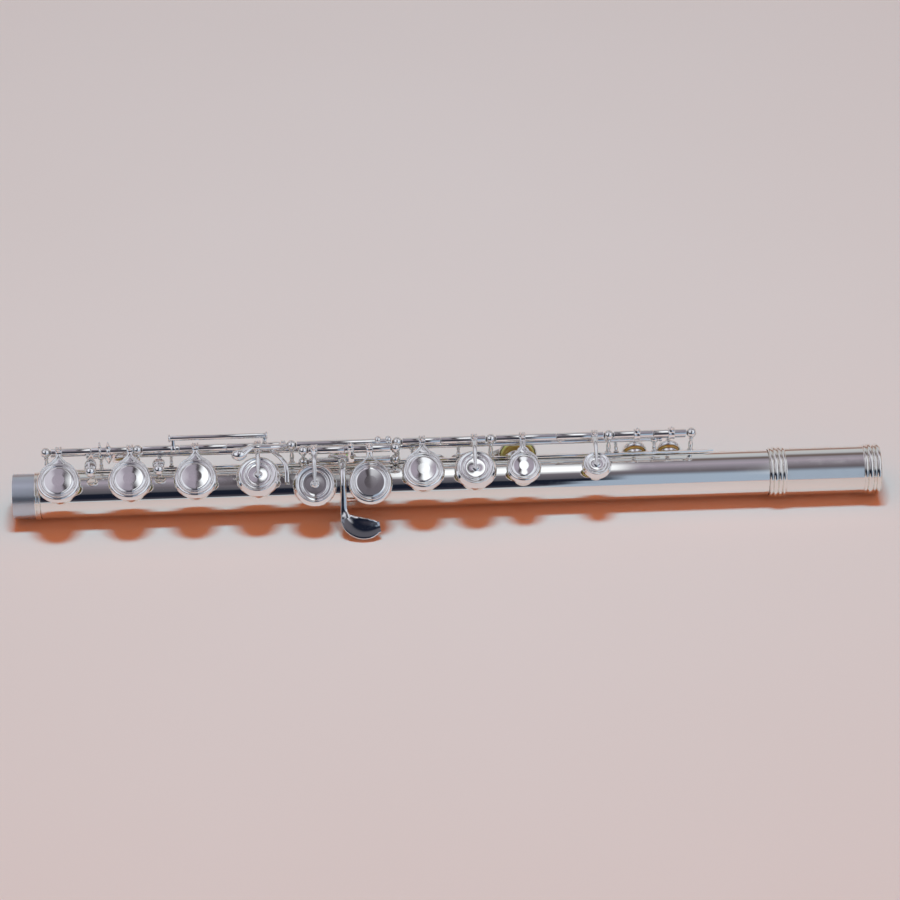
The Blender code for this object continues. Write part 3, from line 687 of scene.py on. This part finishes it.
def dished_cup(place, radius, gap, rings):
    """Closed cup whose top falls in steps to a central boss."""
    edge = RIM + gap + PAD_PROUD
    roof = RIM + gap + PAD_THICK + GAP
    top = roof + CUP_WALL
    pocket = radius - CUP_WALL - 0.25
    outer, mid, inner = (radius * r for r in rings)
    profile = [
        (0, roof), (pocket, roof), (pocket, edge), (radius - 0.3, edge), (radius, edge + 0.3),
        (radius, edge + 1.1), (radius - 0.3, top - 0.7), (outer + 0.3, top + 0.25),
        (outer, top + 0.72), (outer - 0.45, top + 0.74), (outer - 0.9, top + 0.4), (mid + 0.2, top + 0.25),
        (mid, top + 0.5), (mid - 0.35, top + 0.5), (mid - 0.7, top + 0.2), (inner, top + 0.1),
        (1.7, top + 0.16), (1.3, top + 0.5), (0.9, top + 0.95), (0, top + 1.05),
    ]
    return turned(profile, place, 96, ease=0.2)


def pad_piece(name, place, radius, gap, body):
    """Felt pad in bladder skin: a crowned disc with the ring that the hole has pressed in it."""
    outer = radius - CUP_WALL - 0.25 - GAP
    low = RIM + gap
    high = low + PAD_THICK
    profile = [
        (0, low + 0.12), (0.35 * outer, low + 0.1), (0.72 * outer, low + 0.03), (0.8 * outer, low + 0.14),
        (0.88 * outer, low + 0.02), (outer - 0.12, low + 0.28), (outer, low + 0.8), (outer, high), (0, high),
    ]
    made = finish_piece(
        name + "_skin", [turned(profile, place, 64, ease=0.25)], PAD, name, body, sharp=50
    )


def collar(line, x, half_width=1.45, radius=2.6):
    """Short raised band round a hinge tube, with a bead at each side."""
    low, high = x - half_width, x + half_width
    profile = [
        (1.3, low), (radius - 0.3, low), (radius, low + 0.35), (radius - 0.18, low + 0.7),
        (radius - 0.18, high - 0.7), (radius, high - 0.35), (radius - 0.3, high), (1.3, high),
    ]
    return turned(profile, along_x(line, 0), 32, closed=True, ease=0.2)


def finial(line, x, angle=0.0, height=4.5, base=1.5):
    """Small pointed top on a collar."""
    place = Matrix.Translation((x, line[0], line[1])) @ Matrix.Rotation(radians(-angle), 4, "X")
    profile = [(0, 1.2), (base, 1.2), (base, 2.2), (0.55 * base, 2.9), (0.3, height - 0.3), (0, height)]
    return turned(profile, place, 20, ease=0.4)


def fork_limbs(x, local, radius, style):
    """Two prongs that leave a narrow neck and hug the cup's rim, with a web between them."""
    top = RIM + PAD_CLEAR + PAD_THICK + GAP + CUP_WALL
    back, height = local
    edge = [(0.5, back - 0.4, 1.2), (0.6, back - 1.9, 1.2), (0.9, radius + 1.9, 1.0), (1.9, radius + 0.75, 0.9)]
    for turn, inset in ((19, 0.05), (31, 0.35), (44, 0.55), (57, 0.75)):
        a = radians(turn)
        edge.append(((radius - inset) * sin(a), (radius - inset) * cos(a), 1.0 - 0.006 * turn))
    run = edge[1][1] - radius - 0.75

    def lift(y):
        rise = max(0.0, min(1.0, (y - radius - 0.75) / run))
        return top + 0.1 + (height + 0.95 - top) * rise

    limbs = []
    for side in (-1, 1):
        path = [(x + side * out, y, lift(y), wide, 1.35) for out, y, wide in edge]
        limbs.append(swept(path, hint=(0, 0, 1), square=2.2))
    if style != "open fork":
        outline = [(x + out, y) for out, y, _ in edge[1:7]] + [(x - out, y) for out, y, _ in edge[6:0:-1]]
        web = slab(outline, 0.6, Matrix.Identity(4), 0.1)
        for vert in web.verts:
            vert.co.z += lift(vert.co.y) - 0.75
        limbs.append(web)
    return limbs


def point_limb(x, local, radius):
    """Slim ridged arm from the hinge to the middle of the cup."""
    top = RIM + PAD_CLEAR + PAD_THICK + GAP + CUP_WALL
    back, height = local
    path = [
        (x, back - 0.5, height + 1.5, 2.1, 1.6), (x, back - 2.4, height + 1.9, 2.3, 1.5),
        (x, 0.62 * back, top + 1.75, 2.0, 1.5), (x, 0.35 * back, top + 1.65, 1.6, 1.4),
        (x, 0.14 * back, top + 1.3, 1.15, 1.2), (x, -0.9, top + 1.0, 0.9, 1.1),
    ]
    return [swept(path, hint=(0, 0, 1), square=1.7)]


def in_key_frame(line, angle):
    radius = hypot(*line)
    turn = atan2(line[0], line[1]) - radians(angle)
    return radius * sin(turn), radius * cos(turn)


def clutch(line):
    """Collar, pointed lug and flat plate that stand beside the E key on its hinge tube."""
    y, z = line
    at = -146.4 + SHIFT
    point = swept([
        (at, y - 1.2, z + 0.4, 1.0, 0.9), (at, y - 2.2, z - 2.2, 3.0, 1.0), (at, y - 2.6, z - 4.6, 0.7, 0.7),
    ], hint=(0, -1, 0.3), square=1.6)
    place = Matrix.Translation((-142.3 + SHIFT, y - 1.0, z - 3.3)) @ Matrix.Rotation(radians(74), 4, "X")
    plate = slab([(-2.5, -2.1), (2.5, -2.1), (2.5, 2.4), (-2.5, 2.4)], 0.8, place)
    return [
        collar(line, at, 0.9, 2.4), finial(line, at, 0, 5.0, 1.3), collar(line, at - 3.6, 0.5, 2.1),
        finial(line, at - 3.6, 0, 5.2, 0.9), point, plate,
    ]


def main_keys():
    for name, (radius, _, x_from, x_to, style) in KEYS.items():
        is_g = name.startswith("g_")
        angle = G_LEAN if is_g else MAIN_LEAN
        line = line_of(name)
        x = middle(name.replace("_key", "_pad"))
        stand = swing(line, -OPEN_ANGLE)
        local = in_key_frame(line, angle)
        place = stand @ out_from_tube(x, angle)
        if style == "point":
            limbs = point_limb(x, local, radius)
            cup = dished_cup(place, radius, PAD_CLEAR, (0.86, 0.63, 0.46))
        else:
            limbs = fork_limbs(x, local, radius, style)
            cup = flat_cup(place, radius, PAD_CLEAR, 0.73 * radius)
        for limb in limbs:
            bmesh.ops.transform(limb, matrix=stand @ out_from_tube(0, angle), verts=limb.verts[:])
        solids = [sleeve(line, x_from + SHIFT, x_to + SHIFT, ROD_R), collar(line, x), cup]
        solids += limbs + [finial(line, x, -20)]
        if name == "c_sharp_key":
            stem = (47.8 + SHIFT, line[0] + 0.3, line[1] - 1.2, 0.9, 0.9)
            foot = (47.8 + SHIFT, line[0] + 0.6, line[1] - 2.6, 0.8, 0.8)
            solids += [swept([stem, foot], (1, 0, 0)), ball(Vector(foot[:3]), 0.95)]
        if name == "g_upper_key":
            at = -42.6 + SHIFT
            lug = [(at, line[0] - 1.7, line[1] + 0.8, 2.9, 0.9), (at, line[0] - 1.8, line[1] - 4.8, 2.8, 0.9)]
            solids += [collar(line, at, 1.3, 2.3), finial(line, at, -10), swept(lug, (0, -1, 0), 4.0)]
        if name == "e_key":
            solids += clutch(line)
        key_silver(name, solids, name)
        pad_piece(name.replace("_key", "_pad"), place, radius, PAD_CLEAR, name)


def g_sharp_key():
    """See-saw key: spoon in front, hinge tube on top, closed cup at the back."""
    y, z = GS_LINE
    x = middle("g_sharp_pad")
    bridge = swept([
        (x, y + 0.2, z + 1.2, 3.2, 1.7), (x, -0.6, 13.3, 3.0, 1.6), (x, -5.4, 12.5, 2.6, 1.6),
        (x, -9.7, 9.9, 2.5, 1.6), (x, -13.1, 4.4, 2.7, 1.6), (x, -15.6, 0.0, 3.1, 1.6),
        (x + 0.5, -17.6, -2.3, 4.2, 1.6),
    ], square=2.3)
    spoon = swept([
        (x + 0.1, -16.9, -1.5, 3.0, 1.6), (x + 1.2, -18.6, -3.0, 6.0, 1.9), (x + 3.6, -20.4, -4.6, 8.5, 2.2),
        (x + 7.0, -21.5, -5.7, 9.4, 2.4), (x + 10.2, -21.7, -5.9, 8.9, 2.4), (x + 12.8, -21.5, -5.7, 7.2, 2.2),
        (x + 14.4, -21.3, -5.5, 5.0, 1.8),
    ], hint=(0, -0.85, 0.6), square=2.5, dish=0.95, sides=40, per_span=8)
    back_arm = swept([
        (x, y + 0.8, z - 0.2, 3.0, 1.2), (x, 6.6, 10.6, 3.0, 1.0), (x, 9.6, 9.4, 3.4, 0.8),
        (x, 13.1, 8.6, 3.8, 0.8),
    ], square=3.0)
    wing = swept([
        (x + 1.6, y - 0.2, z + 1.7, 2.2, 1.0), (x - 1.4, y, z + 2.1, 2.2, 0.9),
        (x - 4.4, y + 0.2, z + 2.6, 0.8, 0.6),
    ], hint=(0, -0.6, 1))
    place = out_from_tube(x, GS_LEAN)
    solids = [
        sleeve(GS_LINE, -60.7 + SHIFT, -25.7 + SHIFT, ROD_R), bridge, spoon, back_arm, wing,
        flat_cup(place, THUMB_CUP_R, GAP, 5.2), collar(GS_LINE, x, 1.9, 2.15),
    ]
    key_silver("g_sharp_key", solids, "g_sharp_key")
    pad_piece("g_sharp_pad", place, THUMB_CUP_R, GAP, "g_sharp_key")


def touch_plate(x, half_long, half_wide):
    """Oval thumb touch, crowned, lying against the back of the tube."""
    place = Matrix.Translation((x, 17.3, -0.6)) @ Matrix.Rotation(radians(-68), 4, "X")
    place = place @ Matrix.Diagonal((half_long, half_wide, 1, 1))
    profile = [(0, -0.55), (0.9, -0.55), (1.0, -0.3), (1.0, 0.25), (0.92, 0.5), (0.5, 0.72), (0, 0.8)]
    return turned(profile, place, 56, ease=0.05)


def thumb_keys():
    y, z = THUMB_LINE
    s = SHIFT
    x = middle("thumb_b_pad")
    stand = swing(THUMB_LINE, -THUMB_OPEN)
    place = stand @ out_from_tube(x, THUMB_LEAN)
    link = swept([
        (12.0 + s, y + 0.9, z + 0.9, 4.0, 1.5), (15.0 + s, 16.0, -4.5, 4.0, 1.3),
        (21.0 + s, 17.6, 0.2, 4.4, 1.3), (28.0 + s, 18.3, 2.0, 4.6, 1.3),
    ], hint=(0, 1, 0), square=3.0)
    stem = swept([
        (5.0 + s, y + 0.9, z + 0.9, 3.2, 1.5), (5.5 + s, 15.6, -4.2, 3.2, 1.3), (6.5 + s, 16.9, -1.6, 3.6, 1.2),
    ], hint=(0, 1, 0), square=3.0)
    solids = [
        sleeve(THUMB_LINE, 1.0 + s, 15.2 + s, ROD_R), link, stem, touch_plate(8.5 + s, 7.4, 3.9),
        flat_cup(place, THUMB_CUP_R, PAD_CLEAR, 5.2),
    ]
    key_silver("thumb_b_key", solids, "thumb_b_key")
    pad_piece("thumb_b_pad", place, THUMB_CUP_R, PAD_CLEAR, "thumb_b_key")
    flat_stem = swept([
        (-7.6 + s, y + 0.9, z + 0.9, 3.2, 1.5), (-7.6 + s, 15.6, -4.2, 3.2, 1.3),
        (-7.6 + s, 16.9, -1.6, 3.6, 1.2),
    ], hint=(0, 1, 0), square=3.0)
    solids = [
        sleeve(THUMB_LINE, -15.7 + s, 0.7 + s, ROD_R), flat_stem, touch_plate(-7.6 + s, 6.2, 3.6),
    ]
    key_silver("thumb_b_flat_lever", solids, "thumb_b_flat_lever")


def trill_keys():
    y, z = LH_LINE
    crown = out_from_tube(0, TRILL_LEAN) @ Vector((0, 0, RIM + GAP + PAD_THICK + GAP + CUP_WALL))
    for name, (x_from, x_to) in TRILLS.items():
        x = middle(name.replace("_key", "_pad"))
        hanger = swept([
            (x, y + 1.2, z - 0.2, 2.4, 1.6), (x, y + 4.2, z - 2.8, 2.0, 1.3),
            (x, crown.y + 0.9, crown.z + 4.4, 2.0, 1.2), (x, crown.y + 0.2, crown.z + 0.3, 2.4, 1.4),
        ], hint=(0, 1, 0.4), square=2.6)
        place = out_from_tube(x, TRILL_LEAN)
        solids = [
            sleeve(LH_LINE, x_from + SHIFT, x_to + SHIFT, ROD_R), collar(LH_LINE, x),
            finial(LH_LINE, x, -10), hanger, flat_cup(place, TRILL_CUP_R, GAP, 2.7),
        ]
        key_silver(name, solids, name)
        pad_piece(name.replace("_key", "_pad"), place, TRILL_CUP_R, GAP, name)


def trill_levers():
    """Long rods behind the keys, each with a drop-shaped touch and a cam at the far end."""
    s = SHIFT
    y, z = DS_TRILL_LINE
    x = -154.1 + s
    neck = swept([
        (x, y, z + 0.4, 2.0, 1.4), (x, 6.0, 15.9, 2.0, 1.3), (x, 3.6, 16.7, 2.6, 1.4), (x, 1.2, 16.9, 4.6, 1.7),
        (x, -1.2, 16.5, 5.4, 2.2), (x, -3.0, 15.8, 4.6, 2.6),
    ], square=2.1)
    cam = rod(DS_TRILL_LINE, 90.9 + s, 92.2 + s, CAM_R)
    solids = [
        rod(DS_TRILL_LINE, -156.3 + s, 92.2 + s, TRILL_ROD_R), neck, ball(Vector((x, -3.5, 15.6)), 2.35), cam,
    ]
    key_silver("d_sharp_trill_lever", solids, "d_sharp_trill_lever")
    y, z = D_TRILL_LINE
    x = -125.0 + s
    neck = swept([
        (x, y, z, 2.0, 1.2), (x, 6.8, 11.8, 2.0, 1.2), (x, 4.2, 13.9, 2.4, 1.3), (x, 2.0, 16.0, 4.4, 1.6),
        (x, -0.8, 16.5, 5.4, 2.2), (x, -3.0, 15.8, 4.6, 2.6),
    ], square=2.1)
    cam = rod(D_TRILL_LINE, 74.4 + s, 75.2 + s, CAM_R)
    solids = [
        rod(D_TRILL_LINE, -127.2 + s, 75.2 + s, TRILL_ROD_R), neck, ball(Vector((x, -3.5, 15.6)), 2.35), cam,
    ]
    key_silver("d_trill_lever", solids, "d_trill_lever")


def split_e_lever():
    """Raised bridge over the F keys, with the arm that reaches the lower G side."""
    s = SHIFT
    y, z = RH_LINE
    high = (7.0, 24.0)
    solids = [
        sleeve(RH_LINE, -131.7 + s, -116.2 + s, ROD_R),
        sleeve(RH_LINE, -80.7 + s, -72.9 + s, ROD_R),
        rod(high, -119.8 + s, -78.4 + s, 1.1), collar(RH_LINE, -118.6 + s, 1.2, 2.1),
    ]
    for x in (-120.0 + s, -78.4 + s):
        flange = [(0, x - 0.6), (1.5, x - 0.6), (1.75, x - 0.2), (1.5, x + 0.3), (0, x + 0.3)]
        solids.append(turned(flange, along_x(high, 0), 28, ease=0.2))
    for x in (-118.6 + s, -79.4 + s):
        solids.append(swept([(x, y, z + 0.8, 1.9, 1.9), (x, *high, 1.7, 1.7)], (1, 0, 0), per_span=3))
    solids.append(swept([
        (-77.2 + s, y - 0.8, z - 0.6, 2.4, 1.5), (-75.6 + s, 3.0, 17.8, 2.1, 1.3),
        (-72.8 + s, 0.2, 16.9, 1.9, 1.2), (-70.8 + s, -3.0, 15.9, 1.9, 1.2),
        (-70.3 + s, -6.2, 14.1, 2.0, 1.2), (-70.3 + s, -8.9, 11.6, 2.0, 1.2),
    ], square=2.8))
    key_silver("split_e_lever", solids, "split_e_lever")


def shake_lever():
    """B flat side lever, and the tube behind the G keys that it turns."""
    s = SHIFT
    solids = [
        sleeve(RH_LINE, -72.6 + s, -70.4 + s, ROD_R), collar(RH_LINE, -71.5 + s, 1.05, 2.25),
        swept([
            (-71.5 + s, 3.2, 20.9, 2.6, 2.3), (-75.0 + s, 1.4, 22.1, 2.8, 2.3),
            (-81.0 + s, 0.9, 22.8, 3.0, 2.2), (-84.6 + s, 0.7, 22.9, 3.0, 2.0),
            (-87.0 + s, -0.2, 22.4, 4.2, 2.0), (-89.0 + s, -1.6, 21.6, 5.0, 2.8),
            (-90.4 + s, -2.6, 20.9, 4.0, 2.8),
        ], hint=(0, 0.2, 1), square=2.1),
        ball(Vector((-90.4 + s, -2.2, 21.2)), 2.5, (1.35, 1.0, 0.95)),
    ]
    body = "b_flat_shake_lever"
    key_silver("b_flat_shake_lever", solids, body)
    solids = [sleeve(RH_LINE, -65.7 + s, -25.0 + s, ROD_R)]
    for x in (-30.8 + s, -26.4 + s):
        solids += [collar(RH_LINE, x, 0.95, 2.3), finial(RH_LINE, x, 0, 3.3)]
    key_silver("b_flat_shake_rod", solids, body)


def needle_springs():
    for name in sorted(frame["nodes"]):
        if name.endswith("_spring"):
            low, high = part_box(name)
            line = ((low.y + high.y) / 2 / MM - AXIS.y / MM, (low.z + high.z) / 2 / MM - AXIS.z / MM)
            x_from, x_to = low.x / MM, high.x / MM
            path = [
                (x_from, line[0], line[1], 0.5, 0.5),
                ((x_from + x_to) / 2, line[0], line[1] + 0.05, 0.45, 0.45),
                (x_to, line[0], line[1], 0.36, 0.36),
            ]
            needle = swept(path, (0, 0, 1), sides=10)
            finish_piece(name + "_needle", [needle], SPRING, name, "body")


# ---- floor, light and camera ------------------------------------------------------------
def floor():
    bm = bmesh.new()
    bmesh.ops.create_grid(bm, x_segments=2, y_segments=2, size=4.0)
    mesh = bpy.data.meshes.new("table top")
    bm.to_mesh(mesh)
    bm.free()
    made, tree, shader = new_finish("table cloth")
    coords = node(tree, "ShaderNodeTexCoord", (-900, 0))
    noise = node(tree, "ShaderNodeTexNoise", (-700, 0))
    noise.inputs["Scale"].default_value = 6.0
    tree.links.new(coords.outputs["Object"], noise.inputs["Vector"])
    colour = mixed(tree, noise.outputs["Fac"], (0.77, 0.49, 0.39), (0.79, 0.51, 0.41), (-300, 100))
    tree.links.new(colour, shader.inputs["Base Color"])
    shader.inputs["Roughness"].default_value = 0.75
    mesh.materials.append(made)
    obj = bpy.data.objects.new("table_top", mesh)
    bpy.context.scene.collection.objects.link(obj)


def area_light(name, place, target, size, power, colour):
    data = bpy.data.lights.new(name, "AREA")
    data.shape = "RECTANGLE"
    data.size, data.size_y = size
    data.energy = power
    data.color = colour
    obj = bpy.data.objects.new(name, data)
    obj.location = place
    obj.rotation_mode = "QUATERNION"
    obj.rotation_quaternion = (Vector(target) - Vector(place)).to_track_quat("-Z", "Y")
    obj.visible_glossy = False
    bpy.context.scene.collection.objects.link(obj)


def between(tree, value, edges, place):
    """1 inside a soft-edged range of a value; the edges run up over two and down over two."""
    steps = []
    for number, (low, high) in enumerate(((edges[0], edges[1]), (edges[3], edges[2]))):
        spot = (place[0], place[1] - 220 * number)
        step = node(tree, "ShaderNodeMapRange", spot, interpolation_type="SMOOTHSTEP")
        step.inputs["From Min"].default_value = low
        step.inputs["From Max"].default_value = high
        tree.links.new(value, step.inputs["Value"])
        steps.append(step.outputs["Result"])
    return product(tree, *steps, (place[0] + 200, place[1]))


def product(tree, first, second, place):
    made = node(tree, "ShaderNodeMath", place, operation="MULTIPLY")
    tree.links.new(first, made.inputs[0])
    tree.links.new(second, made.inputs[1])
    return made.outputs["Value"]


def layered(tree, below, colour, mask, place):
    """A flat colour laid over another by a mask."""
    mix = node(tree, "ShaderNodeMix", place, data_type="RGBA")
    tree.links.new(mask, mix.inputs["Factor"])
    tree.links.new(below, mix.inputs["A"])
    mix.inputs["B"].default_value = (*colour, 1)
    return mix.outputs["Result"]


def studio_room():
    """Room that the silver mirrors: a pale ceiling and a dark front wall with soft patches.

    The ramp gives the colour by height: 0 is the front horizon, 0.5 overhead, 1 the back
    horizon.  Each patch is (colour, range of the sideways direction, range of the height).
    """
    world = bpy.data.worlds.new("studio")
    bpy.context.scene.world = world
    world.use_nodes = True
    world.cycles_visibility.diffuse = False
    tree = world.node_tree
    background = tree.nodes["Background"]
    coords = node(tree, "ShaderNodeTexCoord", (-1900, 0))
    split = node(tree, "ShaderNodeSeparateXYZ", (-1700, 0))
    tree.links.new(coords.outputs["Generated"], split.inputs["Vector"])
    flip = node(tree, "ShaderNodeMath", (-1500, -150), operation="MULTIPLY")
    flip.inputs[1].default_value = -1.0
    tree.links.new(split.outputs["Y"], flip.inputs[0])
    turn = node(tree, "ShaderNodeMath", (-1300, 0), operation="ARCTAN2")
    tree.links.new(split.outputs["Z"], turn.inputs[0])
    tree.links.new(flip.outputs["Value"], turn.inputs[1])
    rise = node(tree, "ShaderNodeMapRange", (-1100, 0))
    rise.inputs["From Min"].default_value = -pi
    rise.inputs["From Max"].default_value = pi
    rise.inputs["To Min"].default_value = -180.0
    rise.inputs["To Max"].default_value = 180.0
    tree.links.new(turn.outputs["Value"], rise.inputs["Value"])
    height = rise.outputs["Result"]
    part = node(tree, "ShaderNodeMapRange", (-900, 0))
    part.inputs["From Max"].default_value = 180.0
    tree.links.new(height, part.inputs["Value"])
    ramp = node(tree, "ShaderNodeValToRGB", (-700, 100))
    stops = (
        (0.0, (0.62, 0.64, 0.68)), (0.022, (0.50, 0.52, 0.56)), (0.034, (0.07, 0.07, 0.09)),
        (0.075, (0.03, 0.03, 0.045)),
        (0.11, (0.009, 0.012, 0.024)), (0.20, (0.010, 0.013, 0.026)), (0.235, (0.09, 0.09, 0.11)),
        (0.36, (0.16, 0.145, 0.17)), (0.46, (0.27, 0.25, 0.30)), (0.54, (0.38, 0.34, 0.41)),
        (0.62, (0.30, 0.28, 0.33)), (0.67, (0.15, 0.12, 0.12)), (0.71, (0.18, 0.15, 0.15)),
        (0.77, (0.50, 0.52, 0.56)), (0.88, (0.56, 0.58, 0.60)), (0.93, (0.33, 0.20, 0.17)),
        (0.97, (0.28, 0.16, 0.13)), (1.0, (0.60, 0.52, 0.48)),
    )
    while len(ramp.color_ramp.elements) < len(stops):
        ramp.color_ramp.elements.new(0.5)
    for element, (at, colour) in zip(ramp.color_ramp.elements, stops):
        element.position = at
        element.color = (*colour, 1)
    tree.links.new(part.outputs["Result"], ramp.inputs["Fac"])
    across = split.outputs["X"]
    colour = ramp.outputs["Color"]
    window = ((0.36, 0.44, 0.56), (0.085, 0.118, 0.9, 1.0), (-6.0, 4.0, 38.0, 60.0))
    right_wall = ((0.80, 0.84, 0.92), (0.24, 0.34, 0.80, 0.92), (24.0, 40.0, 96.0, 118.0))
    left_wall = ((0.78, 0.80, 0.88), (-0.86, -0.76, -0.34, -0.22), (30.0, 46.0, 100.0, 122.0))
    left_ceiling = ((0.62, 0.60, 0.68), (-0.34, -0.26, -0.15, -0.10), (84.0, 98.0, 128.0, 146.0))
    beam = ((0.07, 0.06, 0.07), (-0.040, -0.022, 0.008, 0.026), (58.0, 70.0, 112.0, 126.0))
    lamp = ((1.15, 1.20, 1.25), (-0.01, 0.035, 0.085, 0.125), (64.0, 84.0, 98.0, 125.0))
    patches = (window, right_wall, left_wall, left_ceiling, beam, lamp)
    for index, (shade, sides, heights) in enumerate(patches):
        low = -500 - 1000 * index
        beside = between(tree, across, sides, (-1100, low))
        above = between(tree, height, heights, (-1100, low - 500))
        patch = product(tree, beside, above, (-600, low))
        colour = layered(tree, colour, shade, patch, (-400 + 60 * index, low))
    tree.links.new(colour, background.inputs["Color"])


def camera():
    view_turn = radians(-2.85)
    rise = radians(40.0)
    distance = 1.45
    back = Vector((sin(view_turn) * cos(rise), -cos(view_turn) * cos(rise), sin(rise)))
    right = (-back).cross(Vector((0, 0, 1))).normalized()
    up = right.cross(-back)
    aim = Vector((SHIFT * MM, AXIS.y, AXIS.z)) + up * 0.0141
    data = bpy.data.cameras.new("camera")
    data.sensor_width = 36.0
    data.lens = 36.0 * distance / 0.3897
    obj = bpy.data.objects.new("camera", data)
    obj.location = aim + back * distance
    obj.rotation_mode = "QUATERNION"
    obj.rotation_quaternion = (-back).to_track_quat("-Z", "Y")
    bpy.context.scene.collection.objects.link(obj)
    bpy.context.scene.camera = obj


def main():
    body_tube()
    sleeves()
    ribs()
    steels()
    main_keys()
    g_sharp_key()
    thumb_keys()
    trill_keys()
    trill_levers()
    split_e_lever()
    shake_lever()
    needle_springs()
    floor()
    studio_room()
    area_light("cool_lamp", (0.0, 0.13, 1.6), (0, 0, 0), (0.5, 0.2), 34.8, (0.18, 0.68, 1.0))
    area_light("warm_room", (0.0, -0.4, 1.25), (0, 0, 0), (4.0, 3.6), 37.5, (1.0, 0.36, 0.10))
    camera()
    bpy.context.scene.view_settings.view_transform = "Standard"


main()
